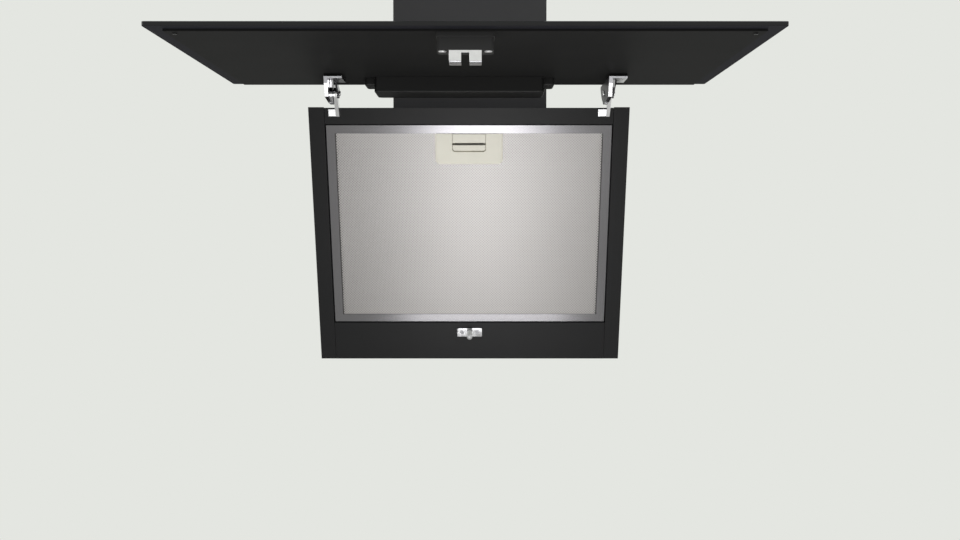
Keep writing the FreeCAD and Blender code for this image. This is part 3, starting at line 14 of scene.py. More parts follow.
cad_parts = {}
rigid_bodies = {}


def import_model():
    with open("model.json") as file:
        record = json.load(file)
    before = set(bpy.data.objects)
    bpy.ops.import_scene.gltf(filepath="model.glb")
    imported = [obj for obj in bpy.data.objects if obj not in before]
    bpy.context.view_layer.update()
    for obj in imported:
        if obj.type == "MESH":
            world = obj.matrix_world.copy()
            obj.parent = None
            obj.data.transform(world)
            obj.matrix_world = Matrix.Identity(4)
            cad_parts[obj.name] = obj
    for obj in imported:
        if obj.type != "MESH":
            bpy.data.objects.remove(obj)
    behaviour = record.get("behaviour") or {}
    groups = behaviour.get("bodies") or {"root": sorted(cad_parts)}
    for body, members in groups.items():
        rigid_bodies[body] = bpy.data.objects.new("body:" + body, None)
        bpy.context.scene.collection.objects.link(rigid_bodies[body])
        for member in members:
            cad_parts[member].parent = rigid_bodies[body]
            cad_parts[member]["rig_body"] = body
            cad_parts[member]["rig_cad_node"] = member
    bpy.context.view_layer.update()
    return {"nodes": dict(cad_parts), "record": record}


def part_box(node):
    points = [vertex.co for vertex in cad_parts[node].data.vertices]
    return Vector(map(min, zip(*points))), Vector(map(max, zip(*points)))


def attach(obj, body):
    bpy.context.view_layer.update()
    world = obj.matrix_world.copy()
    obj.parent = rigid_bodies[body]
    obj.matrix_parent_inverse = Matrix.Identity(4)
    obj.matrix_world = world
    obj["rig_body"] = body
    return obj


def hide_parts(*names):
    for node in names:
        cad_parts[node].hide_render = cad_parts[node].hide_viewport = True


bl_info = {
    "name": "Angled wall hood",
    "version": (1, 0, 0),
    "blender": (4, 5, 0),
    "location": "View3D > Sidebar > Hood",
    "description": "Finishes and small pieces of an angled wall hood",
    "category": "Object",
}

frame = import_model()
MM = 0.001

# Directions

SLOPE = math.radians(20.4)                                   # lean of the front
OUTWARD = Vector((0, -math.cos(SLOPE), -math.sin(SLOPE)))    # square out of it
DOWN_FRONT = Vector((0, math.sin(SLOPE), -math.cos(SLOPE)))  # down along it
FRONT_UPRIGHT = (-SLOPE, 0, 0)                               # turns it upright for a pattern
DOWN = Vector((0, 0, -1))

# Limits for modelling

MERGE = 0.005 * MM              # points nearer than this are one
PINCH = 0.002 * MM              # faces narrower than this are merged away
TOP = 0.01 * MM                 # points this near a screw's top are on it
NEAR = 0.1 * MM                 # how near a level counts as on it
RUN = 1 * MM                    # an edge that reaches further than this along an axis runs along it
FLAT = math.radians(0.5)        # faces that turn less than this are one
SMOOTH = math.radians(32)       # edges that turn less than this are shaded smooth
SHARP = math.radians(40)        # edges that turn more than this are rounded
SQUARE_ON = 0.9                 # least cosine of a face that looks along a direction
MOSTLY_ON = 0.6                 # of one that looks mostly along it
HALF_ON = 0.5                   # of one that looks halfway along it
PARTLY_ON = 0.3                 # of one that looks partly along it

# Small forms

PRESS_EASE = 0.5 * MM           # rounding on the hinges' edges
FORK_EASE = 0.4 * MM            # on the fork and the strike plate
STUD_EASE = 0.3 * MM
GLASS_CORNER = 3 * MM
FRAME_BORDER = 14 * MM          # face of the filter frame beside the mesh
FRAME_PAINTED_SHADE = 2 * MM            # the frame's lower end is painted shade, in black, from this far below the mesh
LUG_LENGTH = 16.5 * MM          # end of the control housing that counts as its lug
LUG_HEIGHT = 17 * MM            # lug as the solid has it
LUG_TRIM = 4.5 * MM             # taken off its height
LUG_EASE = 3.6 * MM
EAR_THICKNESS = 6 * MM
EAR_SLANT = math.radians(27)    # front of a bracket's ear and plate, from upright
NOSE_HIGHLIGHT_DROP = 10 * MM             # an ear's nose has a painted highlight from here down
LIP_PLACE = Vector((9.3, 31, -7.5)) * MM   # middle of a lip, from its bracket's left, front, top corner
LIP_SIZE = Vector((5.4, 2.5, 13)) * MM
LIP_TILT = math.radians(30)
LIP_FOOT = 4 * MM               # height of a lip's end that is rounded
LIP_EASE = 1.1 * MM
BLADE_THICKNESS = 0.24          # of a driver's blade, as a share of its width
BLADE_TIP = 0.6                 # size of its tip, as a share of its root

# Stage

FLOOR_PLACE = (0, -2, -0.87)
FLOOR_SIZE = 6.0
EVEN_LIGHT = 0.44               # strength of the light from all round
LAMPS = (
    # name, place, target, width, length, watts
    ("key_softbox", (1.5, -2.6, 1.7), (0, -0.4, 0), 1.6, 1.6, 32),
    ("fill_softbox", (-2.0, -2.2, 0.9), (0, -0.4, 0), 1.8, 1.8, 14),
    ("top_softbox", (0.3, -1.3, 1.9), (0, -0.2, 0.6), 0.8, 0.8, 42),
    ("chimney_softbox", (0.03, -0.9, 0.53), (0.03, -0.2, 0.42), 0.65, 0.14, 1.3),
    ("low_softbox", (0.025, -1.8, -0.84), (0.025, -1.8, 1.0), 0.34, 0.62, 7.5),
    ("near_softbox", (0.02, -1.35, -0.84), (0.02, -1.35, 1.0), 0.16, 0.28, 1.7),
    ("rail_softbox", (0.03, -1.0, -0.84), (0.03, -1.0, 1.0), 0.42, 0.07, 1.15),
)
CAMERA_PLACE = (0.0182, -2.3891, -0.0075)
CAMERA_TILT = math.radians(90 - 1.47)      # up from straight down
CAMERA_LENS = 45                # millimetres, as is the sensor
CAMERA_SENSOR = 36


def linear(code):
    """Linear colour from an sRGB hex code."""
    values = [int(code[i:i + 2], 16) / 255 for i in (1, 3, 5)]
    return tuple(v / 12.92 if v <= 0.04045 else ((v + 0.055) / 1.055) ** 2.4 for v in values)


class HoodSizes(PropertyGroup):
    """Small sizes that the finish adds to the solids."""

    glass_bevel: FloatProperty(name="Glass bevel", description="Ground edge of the glass",
                               default=0.8 * MM, unit="LENGTH")
    sheet_ease: FloatProperty(name="Sheet ease", description="Rounding on cut sheet edges",
                              default=0.35 * MM, unit="LENGTH")
    fold_ease: FloatProperty(name="Fold ease", description="Rounding on folded sheet corners",
                             default=1.0 * MM, unit="LENGTH")
    mould_ease: FloatProperty(name="Mould ease", description="Rounding on moulded edges",
                              default=0.6 * MM, unit="LENGTH")
    mesh_pitch: FloatProperty(name="Mesh pitch", description="Spacing of the filter mesh's openings",
                              default=4.6 * MM, unit="LENGTH")


class HoodColours(PropertyGroup):
    """Base colours of the finishes that show most."""

    coat: FloatVectorProperty(name="Powder coat", description="Body and chimney",
                              subtype="COLOR", default=linear("#1a1a1b"))
    panel: FloatVectorProperty(name="Panel", description="Panel under the glass",
                               subtype="COLOR", default=linear("#1e1e1e"))
    glass: FloatVectorProperty(name="Glass", description="Flap glass",
                               subtype="COLOR", default=linear("#0b0b0d"))
    ivory: FloatVectorProperty(name="Handle", description="Filter handle and latch",
                               subtype="COLOR", default=linear("#e1ded2"))
    mesh: FloatVectorProperty(name="Filter mesh", description="Expanded mesh of the filter",
                              subtype="COLOR", default=linear("#7f7d7c"))
    zinc: FloatVectorProperty(name="Zinc", description="Hinge arms and pins, and satin zinc",
                              subtype="COLOR", default=linear("#e2e2e4"))
    frame: FloatVectorProperty(name="Filter frame", description="Folded frame of the filter",
                               subtype="COLOR", default=linear("#626163"))
    floor: FloatVectorProperty(name="Floor", description="Plain floor",
                               subtype="COLOR", default=linear("#f2f2ee"))
    backdrop: FloatVectorProperty(name="Backdrop", description="Plain backdrop",
                                  subtype="COLOR", default=linear("#e4e6e1"))


def sizes():
    """The hood's small sizes."""
    return bpy.context.scene.hood_sizes


def colours():
    """The hood's base colours."""
    return bpy.context.scene.hood_colours


# Materials


def out(source):
    """Socket that a link starts from: a node stands for the first output that it has in use."""
    if isinstance(source, NodeSocket):
        return source
    return next(output for output in source.outputs if output.enabled)


def add(tree, kind, values=None, links=None, to=None, **settings):
    """Node with its settings, socket values and incoming links, and the socket that it feeds."""
    node = tree.nodes.new(kind)
    for name, value in settings.items():
        setattr(node, name, value)
    for socket, value in (values or {}).items():
        node.inputs[socket].default_value = value
    for socket, source in (links or {}).items():
        tree.links.new(out(source), node.inputs[socket])
    if to is not None:
        tree.links.new(out(node), to)
    return node


def started(name, colour, metallic, roughness, **sockets):
    """New material's nodes, its shader's sockets and Object coordinates; nothing if it is made already."""
    if name in bpy.data.materials:
        return None
    material = bpy.data.materials.new(name)
    material.use_nodes = True
    material.diffuse_color = (*colour, 1)
    tree = material.node_tree
    shader = tree.nodes["Principled BSDF"]
    shader.inputs["Base Color"].default_value = (*colour, 1)
    shader.inputs["Metallic"].default_value = metallic
    shader.inputs["Roughness"].default_value = roughness
    for socket, value in sockets.items():
        shader.inputs[socket.replace("_", " ")].default_value = value
    place = add(tree, "ShaderNodeTexCoord").outputs["Object"]
    return tree, shader.inputs, place


def tint(colour, share):
    """Share of a colour, with full alpha."""
    return (*(min(part * share, 1) for part in colour), 1)


def mesh_edge():
    """How far from the middle the filter's mesh goes under the frame's sides."""
    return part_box("filter_frame")[1].x - FRAME_BORDER


def powder_coat(name, colour, rough, level):
    """Baked powder coat: an even satin black whose faint orange peel softens every reflection.
    Its real peel is finer than the picture shows, so it is drawn at 1.6 mm."""
    peel_size = 1.6 * MM
    cloud_size = 90 * MM
    made = started(name, colour, metallic=0.0, roughness=rough, Specular_IOR_Level=level)
    if made:
        tree, shader, place = made
        peel = add(tree, "ShaderNodeTexNoise", {"Scale": 1 / peel_size, "Detail": 2.0}, {"Vector": place})
        cloud = add(tree, "ShaderNodeTexNoise", {"Scale": 1 / cloud_size, "Detail": 3.0}, {"Vector": place})
        add(tree, "ShaderNodeBump", {"Strength": 0.4, "Distance": 0.02 * MM}, {"Height": peel},
            shader["Normal"])
        add(tree, "ShaderNodeMapRange", {"To Min": rough - 0.06, "To Max": rough + 0.06}, {"Value": peel},
            shader["Roughness"])
        add(tree, "ShaderNodeMix", {"A": tint(colour, 0.88), "B": tint(colour, 1.12)}, {"Factor": cloud},
            shader["Base Color"], data_type="RGBA")
    return bpy.data.materials[name]


def black_glass():
    """Toughened float glass: a deep black with a clear, hard reflection.
    The rollers leave a very slight wave, about 60 mm from crest to crest."""
    wave_length = 60 * MM
    made = started("toughened_glass_black", tuple(colours().glass), metallic=0.0, roughness=0.08,
                   Specular_IOR_Level=0.35)
    if made:
        tree, shader, place = made
        wave = add(tree, "ShaderNodeTexNoise", {"Scale": 1 / wave_length, "Detail": 0.0}, {"Vector": place})
        add(tree, "ShaderNodeBump", {"Strength": 0.3, "Distance": 0.01 * MM}, {"Height": wave},
            shader["Normal"])
        add(tree, "ShaderNodeMapRange", {"To Min": 0.06, "To Max": 0.11}, {"Value": wave},
            shader["Roughness"])
    return bpy.data.materials["toughened_glass_black"]


def fired_enamel():
    """Ceramic enamel fired on the back of the glass: a matt blue-black with a fine printed tooth.
    The tooth is drawn at 1.2 mm, coarser than it is, so that it shows."""
    colour = linear("#202024")
    tooth_size = 1.2 * MM
    made = started("fired_enamel_black", colour, metallic=0.0, roughness=0.5, Specular_IOR_Level=0.004)
    if made:
        tree, shader, place = made
        tooth = add(tree, "ShaderNodeTexNoise", {"Scale": 1 / tooth_size, "Detail": 2.0}, {"Vector": place})
        add(tree, "ShaderNodeBump", {"Strength": 0.4, "Distance": 0.02 * MM}, {"Height": tooth},
            shader["Normal"])
        add(tree, "ShaderNodeMix", {"A": tint(colour, 0.9), "B": tint(colour, 1.1)}, {"Factor": tooth},
            shader["Base Color"], data_type="RGBA")
    return bpy.data.materials["fired_enamel_black"]


def zinc_plate(name, colour, rough):
    """Zinc-plated steel: a pale, faintly blue sheen, clouded in patches, with fine rolling lines."""
    patch_size = 9 * MM
    line_gap = 1.5 * MM
    line_length = 20 * MM
    made = started(name, colour, metallic=1.0, roughness=rough)
    if made:
        tree, shader, place = made
        patch = add(tree, "ShaderNodeTexNoise", {"Scale": 1 / patch_size, "Detail": 3.0}, {"Vector": place})
        drawn = add(tree, "ShaderNodeMapping", {"Scale": (1 / line_gap, 1 / line_length, 1 / line_gap)},
                    {"Vector": place})
        lines = add(tree, "ShaderNodeTexNoise", {"Scale": 1.0, "Detail": 2.0}, {"Vector": drawn})
        add(tree, "ShaderNodeBump", {"Strength": 0.25, "Distance": 0.02 * MM}, {"Height": lines},
            shader["Normal"])
        add(tree, "ShaderNodeMapRange", {"To Min": rough - 0.06, "To Max": rough + 0.08}, {"Value": patch},
            shader["Roughness"])
        add(tree, "ShaderNodeMix", {"A": tint(colour, 0.88), "B": tint(colour, 1.06)}, {"Factor": patch},
            shader["Base Color"], data_type="RGBA")
    return bpy.data.materials[name]


def brushed_aluminium():
    """Brushed aluminium: grey metal whose fine scratches run along each side of the folded frame.
    The scratches are drawn 1.2 mm apart, coarser than real ones, so that they show."""
    colour = tuple(colours().frame)
    gap = 1.2 * MM
    length = 60 * MM
    made = started("brushed_aluminium", colour, metallic=1.0, roughness=0.2)
    if made:
        tree, shader, place = made
        upright = add(tree, "ShaderNodeMapping", {"Rotation": FRONT_UPRIGHT}, {"Vector": place})
        grain = []
        for spacing in ((length, gap, gap), (gap, gap, length)):
            drawn = add(tree, "ShaderNodeMapping", {"Scale": [1 / size for size in spacing]},
                        {"Vector": upright})
            grain.append(add(tree, "ShaderNodeTexNoise", {"Scale": 1.0, "Detail": 3.0}, {"Vector": drawn}))
        split = add(tree, "ShaderNodeSeparateXYZ", links={"Vector": upright})
        off = add(tree, "ShaderNodeMath", links={0: split.outputs["X"]}, operation="ABSOLUTE")
        upstand = add(tree, "ShaderNodeMath", {1: mesh_edge()}, {0: off}, operation="GREATER_THAN")
        scratch = add(tree, "ShaderNodeMix", links={"Factor": upstand, "A": grain[0], "B": grain[1]})
        add(tree, "ShaderNodeBump", {"Strength": 0.06, "Distance": 0.02 * MM}, {"Height": scratch},
            shader["Normal"])
        add(tree, "ShaderNodeMapRange", {"To Min": 0.17, "To Max": 0.22}, {"Value": scratch},
            shader["Roughness"])
        add(tree, "ShaderNodeMix", {"A": tint(colour, 0.96), "B": tint(colour, 1.04)}, {"Factor": scratch},
            shader["Base Color"], data_type="RGBA")
    return bpy.data.materials["brushed_aluminium"]


def expanded_mesh():
    """Expanded aluminium mesh: pale warm-grey strands round small darker openings in staggered rows.
    Where it goes under the frame's sides, first its openings and then its strands turn dark: painted shade
    of the frame's edge."""
    colour = tuple(colours().mesh)
    painted_shade_tones = (
        # share of the colour away from the frame and in the painted shade beside it, and where the painted
        # shade starts and ends
        (0.6, 0.03, 6 * MM, 3 * MM),             # openings
        (1.03, 0.12, 2.2 * MM, 1.0 * MM),        # strands
    )
    made = started("expanded_aluminium_mesh", colour, metallic=1.0, roughness=0.34)
    if made:
        tree, shader, place = made
        upright = add(tree, "ShaderNodeMapping", {"Rotation": FRONT_UPRIGHT}, {"Vector": place})
        split = add(tree, "ShaderNodeSeparateXYZ", links={"Vector": upright})
        waves = []
        for axis in ("X", "Z"):
            turn = add(tree, "ShaderNodeMath", {1: 2 * math.pi / sizes().mesh_pitch},
                       {0: split.outputs[axis]}, operation="MULTIPLY")
            waves.append(add(tree, "ShaderNodeMath", links={0: turn}, operation="SINE"))
        cells = add(tree, "ShaderNodeMath", links={0: waves[0], 1: waves[1]}, operation="MULTIPLY")
        strand = add(tree, "ShaderNodeMapRange",
                     {"From Min": 0.1, "From Max": 0.8, "To Min": 1.0, "To Max": 0.0}, {"Value": cells})
        add(tree, "ShaderNodeBump", {"Strength": 0.25, "Distance": 0.4 * MM}, {"Height": strand},
            shader["Normal"])
        off = add(tree, "ShaderNodeMath", links={0: split.outputs["X"]}, operation="ABSOLUTE")
        painted_shade_mixes = []
        # each mix darkens the mesh towards the frame's sides: painted shade of the frame's edge
        for clear, dark, start, end in painted_shade_tones:
            under = add(tree, "ShaderNodeMapRange",
                        {"From Min": mesh_edge() - start, "From Max": mesh_edge() - end}, {"Value": off})
            painted_shade_mixes.append(add(tree, "ShaderNodeMix", {"A": tint(colour, clear), "B": tint(colour, dark)},
                              {"Factor": under}, data_type="RGBA"))
        add(tree, "ShaderNodeMix", links={"Factor": strand, "A": painted_shade_mixes[0], "B": painted_shade_mixes[1]},
            to=shader["Base Color"], data_type="RGBA")
    return bpy.data.materials["expanded_aluminium_mesh"]


def moulded(name, colour, rough, level):
    """Injection-moulded plastic: an even colour with the fine spark-eroded grain of its mould.
    The grain is drawn at 1.3 mm, coarser than it is, so that it shows."""
    grain_size = 1.3 * MM
    flow_size = 25 * MM
    made = started(name, colour, metallic=0.0, roughness=rough, Specular_IOR_Level=level)
    if made:
        tree, shader, place = made
        spark = add(tree, "ShaderNodeTexNoise", {"Scale": 1 / grain_size, "Detail": 3.0}, {"Vector": place})
        flow = add(tree, "ShaderNodeTexNoise", {"Scale": 1 / flow_size, "Detail": 2.0}, {"Vector": place})
        add(tree, "ShaderNodeBump", {"Strength": 0.3, "Distance": 0.03 * MM}, {"Height": spark},
            shader["Normal"])
        add(tree, "ShaderNodeMapRange", {"To Min": rough - 0.05, "To Max": rough + 0.08}, {"Value": spark},
            shader["Roughness"])
        add(tree, "ShaderNodeMix", {"A": tint(colour, 0.95), "B": tint(colour, 1.04)}, {"Factor": flow},
            shader["Base Color"], data_type="RGBA")
    return bpy.data.materials[name]


def zinc_sheet(name, colour):
    """Hot-dip galvanised sheet: metal in zinc crystals about 12 mm across, each a shade of its own."""
    spangle_size = 12 * MM
    made = started(name, colour, metallic=1.0, roughness=0.42)
    if made:
        tree, shader, place = made
        cells = add(tree, "ShaderNodeTexVoronoi", {"Scale": 1 / spangle_size}, {"Vector": place})
        spangle = cells.outputs["Color"]
        add(tree, "ShaderNodeMapRange", {"To Min": 0.34, "To Max": 0.52}, {"Value": spangle},
            shader["Roughness"])
        add(tree, "ShaderNodeMix", {"A": tint(colour, 0.75), "B": tint(colour, 1.1)}, {"Factor": spangle},
            shader["Base Color"], data_type="RGBA")
    return bpy.data.materials[name]


def turned_metal(name, colour, rough):
    """Turned or ground metal: an even tone with fine tool marks, drawn 1 mm apart so that they show."""
    mark_gap = 1.0 * MM
    made = started(name, colour, metallic=1.0, roughness=rough)
    if made:
        tree, shader, place = made
        marks = add(tree, "ShaderNodeTexNoise", {"Scale": 1 / mark_gap, "Detail": 2.0}, {"Vector": place})
        add(tree, "ShaderNodeMapRange", {"To Min": rough - 0.08, "To Max": rough + 0.08}, {"Value": marks},
            shader["Roughness"])
        add(tree, "ShaderNodeMix", {"A": tint(colour, 0.85), "B": tint(colour, 1.1)}, {"Factor": marks},
            shader["Base Color"], data_type="RGBA")
    return bpy.data.materials[name]


def cell_rubber_and_painted_shade():
    """Closed-cell rubber: dull black with small open pores, about 0.8 mm. On the latch's lower face it is
    painted shade in the slot below it.
    """
    colour = linear("#151515")
    pore_size = 0.8 * MM
    made = started("closed_cell_rubber", colour, metallic=0.0, roughness=0.85, Specular_IOR_Level=0.15)
    if made:
        tree, shader, place = made
        pores = add(tree, "ShaderNodeTexVoronoi", {"Scale": 1 / pore_size}, {"Vector": place})
        add(tree, "ShaderNodeBump", {"Strength": 0.6, "Distance": 0.15 * MM}, {"Height": pores},
            shader["Normal"])
        add(tree, "ShaderNodeMix", {"A": tint(colour, 0.7), "B": tint(colour, 1.2)}, {"Factor": pores},
            shader["Base Color"], data_type="RGBA")
    return bpy.data.materials["closed_cell_rubber"]


def circuit_board():
    """Glass-epoxy laminate under green solder mask: glossy, with a faint 1 mm weave."""
    colour = linear("#1c4a2c")
    weave_size = 1.0 * MM
    made = started("epoxy_laminate_green", colour, metallic=0.0, roughness=0.3)
    if made:
        tree, shader, place = made
        checks = add(tree, "ShaderNodeTexChecker", {"Scale": 1 / weave_size}, {"Vector": place})
        add(tree, "ShaderNodeMix", {"A": tint(colour, 0.9), "B": tint(colour, 1.1)},
            {"Factor": checks.outputs["Fac"]}, shader["Base Color"], data_type="RGBA")
    return bpy.data.materials["epoxy_laminate_green"]


def lens_glass():
    """Pressed lens glass with small prisms inside: milky white that hides the lamp behind it."""
    colour = linear("#e9e9e4")
    prism_size = 3 * MM
    made = started("pressed_lens_glass", colour, metallic=0.0, roughness=0.35,
                   Transmission_Weight=0.4, IOR=1.5)
    if made:
        tree, shader, place = made
        prisms = add(tree, "ShaderNodeTexVoronoi", {"Scale": 1 / prism_size}, {"Vector": place})
        add(tree, "ShaderNodeBump", {"Strength": 0.4, "Distance": 0.3 * MM}, {"Height": prisms},
            shader["Normal"])
        add(tree, "ShaderNodeMix", {"A": tint(colour, 0.92), "B": tint(colour, 1.0)}, {"Factor": prisms},
            shader["Base Color"], data_type="RGBA")
    return bpy.data.materials["pressed_lens_glass"]


def floor_paint():
    """Plain matt paint on the floor: one even pale tone."""
    started("plain_floor", tuple(colours().floor), metallic=0.0, roughness=0.9)
    return bpy.data.materials["plain_floor"]


# Finishes


def body_coat():
    """Satin black powder coat of the body and chimney: deep black with a soft, wide sheen."""
    return powder_coat("powder_coat_black", tuple(colours().coat), rough=0.34, level=0.115)


def panel_coat():
    """Matt black powder coat of the panel under the glass: black with almost no sheen."""
    return powder_coat("powder_coat_matt", tuple(colours().panel), rough=0.45, level=0.002)


def motor_coat():
    """Enamel of the motor: dark grey, and glossier than the body's coat."""
    return powder_coat("motor_enamel", linear("#3a3b3d"), rough=0.35, level=0.5)


def black_abs_and_painted_shade():
    """Black ABS of the control housing: deep black with a faint sheen. On the latch's bolt it is painted
    shade in the gap above the handle.
    """
    return moulded("moulded_abs_black", linear("#191919"), rough=0.45, level=0.2)


def matt_abs():
    """Matt black ABS of the catch: soft charcoal with hardly any sheen."""
    return moulded("moulded_abs_black_matt", linear("#2a2a2a"), rough=0.6, level=0.08)


def ivory_abs():
    """Ivory ABS of the filter's handle and latch: a warm off-white with a soft sheen."""
    return moulded("moulded_abs_ivory", tuple(colours().ivory), rough=0.42, level=0.4)


def black_polypropylene():
    """Black polypropylene of the duct collar, its flaps and the gland: a slightly waxy black."""
    return moulded("moulded_polypropylene_black", linear("#202020"), rough=0.5, level=0.4)


def grey_polypropylene():
    """Grey polypropylene of the fan wheel and bell mouths: a slightly waxy mid-grey."""
    return moulded("moulded_polypropylene_grey", linear("#74777a"), rough=0.45, level=0.4)


def grey_polycarbonate():
    """Polycarbonate of the electronics box and the touch strip: an even pale grey with a soft sheen."""
    return moulded("moulded_polycarbonate_grey", linear("#b9bab8"), rough=0.4, level=0.4)


def galvanised():
    """Plain galvanised sheet, mid-grey."""
    return zinc_sheet("galvanised_sheet", linear("#9da1a5"))


def painted_shade_sheet():
    """Galvanised sheet drawn black as painted shade, so that a rail doesn't show in the gap beside the
    filter.
    """
    return zinc_sheet("galvanised_sheet_blackened", linear("#262728"))


def hinge_zinc():
    """Bright zinc on the hinges' arms and pins: a clear, pale shine."""
    return zinc_plate("zinc_plated_steel_thick", tuple(colours().zinc), rough=0.12)


def bracket_zinc():
    """Thinner, greyer zinc on the hinges' brackets and screws: near a mirror, so it takes its tone from
    what is round it."""
    return zinc_plate("zinc_plated_steel_pressed", linear("#78767c"), rough=0.14)


def bright_zinc():
    """Bright zinc on the fork: nearly white where it mirrors the light."""
    return zinc_plate("zinc_plated_steel_thin", linear("#efeef0"), rough=0.14)


def satin_zinc_and_painted_highlight():
    """Satin zinc on the hinges' feet and the catch screws: pale from every side. On the ears' noses it is a
    painted highlight.
    """
    return zinc_plate("zinc_plated_steel_satin", tuple(colours().zinc), rough=0.42)


def dull_zinc_and_painted_shade():
    """Duller zinc on the strike screws: a soft grey sheen. On the brackets' left sides and front edges and
    the fork's lower and side faces it is painted shade."""
    return zinc_plate("zinc_plated_steel_dull", linear("#8a8a8d"), rough=0.36)


def painted_highlight_zinc():
    """Pale, nearly matt zinc on the strike's stud: a painted highlight on its upper side."""
    return zinc_plate("zinc_plated_steel_blasted", linear("#fbfbfc"), rough=0.8)


def painted_shade_zinc():
    """Mid-grey satin zinc on the stud's nose: painted shade on its outward end."""
    return zinc_plate("zinc_plated_steel_turned", linear("#bcbcbe"), rough=0.42)


def rolled_zinc():
    """Rolled zinc on the strike plate and the hinges' lips: smooth enough to mirror what is before it."""
    return zinc_plate("zinc_plated_steel_rolled", linear("#9a9a9c"), rough=0.08)


def black_oxide_and_painted_shade():
    """Black oxide on the panel's screws: near-black metal with a dull oily sheen. On the filter frame's
    lower end it is painted shade in the gap below the filter."""
    return turned_metal("black_oxide_steel", linear("#2a2a2b"), rough=0.45)


def ground_steel():
    """Ground steel of the motor's shaft and the damper rod: a clean mid-grey shine."""
    return turned_metal("ground_steel", linear("#a9abad"), rough=0.3)


def turned_aluminium():
    """Turned aluminium of the lamps: a soft, pale grey shine."""
    return turned_metal("turned_aluminium", linear("#b5b6b7"), rough=0.35)


# Pieces


def alone(obj):
    """Select one object and nothing else."""
    if bpy.context.object and bpy.context.object.mode != "OBJECT":
        bpy.ops.object.mode_set(mode="OBJECT")
    bpy.ops.object.select_all(action="DESELECT")
    obj.select_set(True)
    bpy.context.view_layer.objects.active = obj


def in_edit(obj, edges=None, faces=None):
    """Open a mesh for editing with the edges or faces that pass a test selected, or with everything."""
    alone(obj)
    mesh = obj.data
    bpy.ops.object.mode_set(mode="EDIT")
    bpy.ops.mesh.select_mode(type="FACE" if faces else "EDGE")
    bpy.ops.mesh.select_all(action="DESELECT" if edges or faces else "SELECT")
    bpy.ops.object.mode_set(mode="OBJECT")
    if edges:
        for edge in mesh.edges:
            a, b = (mesh.vertices[i].co for i in edge.vertices)
            edge.select = edges((a + b) / 2, b - a)
    if faces:
        for face in mesh.polygons:
            face.select = faces(face.center, face.normal)
    bpy.ops.object.mode_set(mode="EDIT")


def applied(obj, kind, **settings):
    """Add a modifier and apply it."""
    alone(obj)
    bpy.ops.object.modifier_add(type=kind)
    modifier = obj.modifiers[-1]
    for name, value in settings.items():
        setattr(modifier, name, value)
    bpy.ops.object.modifier_apply(modifier=modifier.name)


def finished(obj, name, material, body, replaced=()):
    """Give a modelled piece its name, finish and body, with its place in its mesh."""
    alone(obj)
    bpy.ops.object.transform_apply(location=True, rotation=True, scale=True)
    obj.name = name
    obj.data.name = name
    obj.data.materials.clear()
    obj.data.materials.append(material)
    bpy.ops.object.shade_smooth_by_angle(angle=SMOOTH)
    applied(obj, "WEIGHTED_NORMAL", keep_sharp=True)
    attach(obj, body)
    if replaced:
        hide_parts(*replaced)
    return obj


def dressed(material, *nodes):
    """Give CAD solids a finish as they are."""
    for node in nodes:
        mesh = frame["nodes"][node].data
        mesh.materials.clear()
        mesh.materials.append(material)


def faced(piece, material, test):
    """Give the faces of a finished piece that pass a test another finish."""
    piece.data.materials.append(material)
    for face in piece.data.polygons:
        if test(face):
            face.material_index = len(piece.data.materials) - 1


def reach(mesh, way):
    """Farthest that a mesh reaches along a direction."""
    return max(vertex.co.dot(way) for vertex in mesh.vertices)


def body_of(node):
    """Body that a CAD solid belongs to."""
    return next(name for name, nodes in frame["record"]["behaviour"]["bodies"].items() if node in nodes)


def block(middle, size, tilt=0):
    """Block to start a piece from, tilted about X."""
    bpy.ops.object.select_all(action="DESELECT")
    bpy.ops.mesh.primitive_cube_add(size=1, location=middle)
    piece = bpy.context.object
    piece.scale = size
    piece.rotation_euler.x = tilt
    alone(piece)
    bpy.ops.object.transform_apply(location=True, rotation=True, scale=True)
    return piece


def copied(node):
    """Copy of a CAD solid, merged and with its flat faces whole."""
    alone(frame["nodes"][node])
    bpy.ops.object.duplicate()
    piece = bpy.context.object
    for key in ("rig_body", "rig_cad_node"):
        del piece[key]
    piece.parent = None
    in_edit(piece)
    bpy.ops.mesh.remove_doubles(threshold=MERGE)
    bpy.ops.mesh.dissolve_limited(angle_limit=FLAT)
    bpy.ops.object.mode_set(mode="OBJECT")
    return piece


def rounded(piece, width, segments):
    """Round a piece's sharp edges, and merge the faces that this pinches to nothing."""
    applied(piece, "BEVEL", width=width, segments=segments, limit_method="ANGLE", angle_limit=SHARP)
    in_edit(piece)
    bpy.ops.mesh.dissolve_degenerate(threshold=PINCH)
    bpy.ops.object.mode_set(mode="OBJECT")


def in_place_of(node, piece, material, ending="_eased"):
    """Finish a reworked copy of a CAD solid, which it then replaces."""
    return finished(piece, node + ending, material, body_of(node), [node])


def eased(node, width, material, segments=2):
    """Copy of a CAD solid whose sharp edges are rounded as its press, mould or grinder leaves them."""
    piece = copied(node)
    rounded(piece, width, segments)
    return in_place_of(node, piece, material)


def driver_blade(across, deep):
    """One blade of a cross driver's tip, half of it above Z = 0."""
    blade = block((0, 0, 0), (across, across * BLADE_THICKNESS, 2 * deep))
    in_edit(blade, faces=lambda middle, normal: normal.z < -SQUARE_ON)
    bpy.ops.transform.resize(value=(BLADE_TIP, BLADE_TIP, 1))
    bpy.ops.object.mode_set(mode="OBJECT")
    return blade


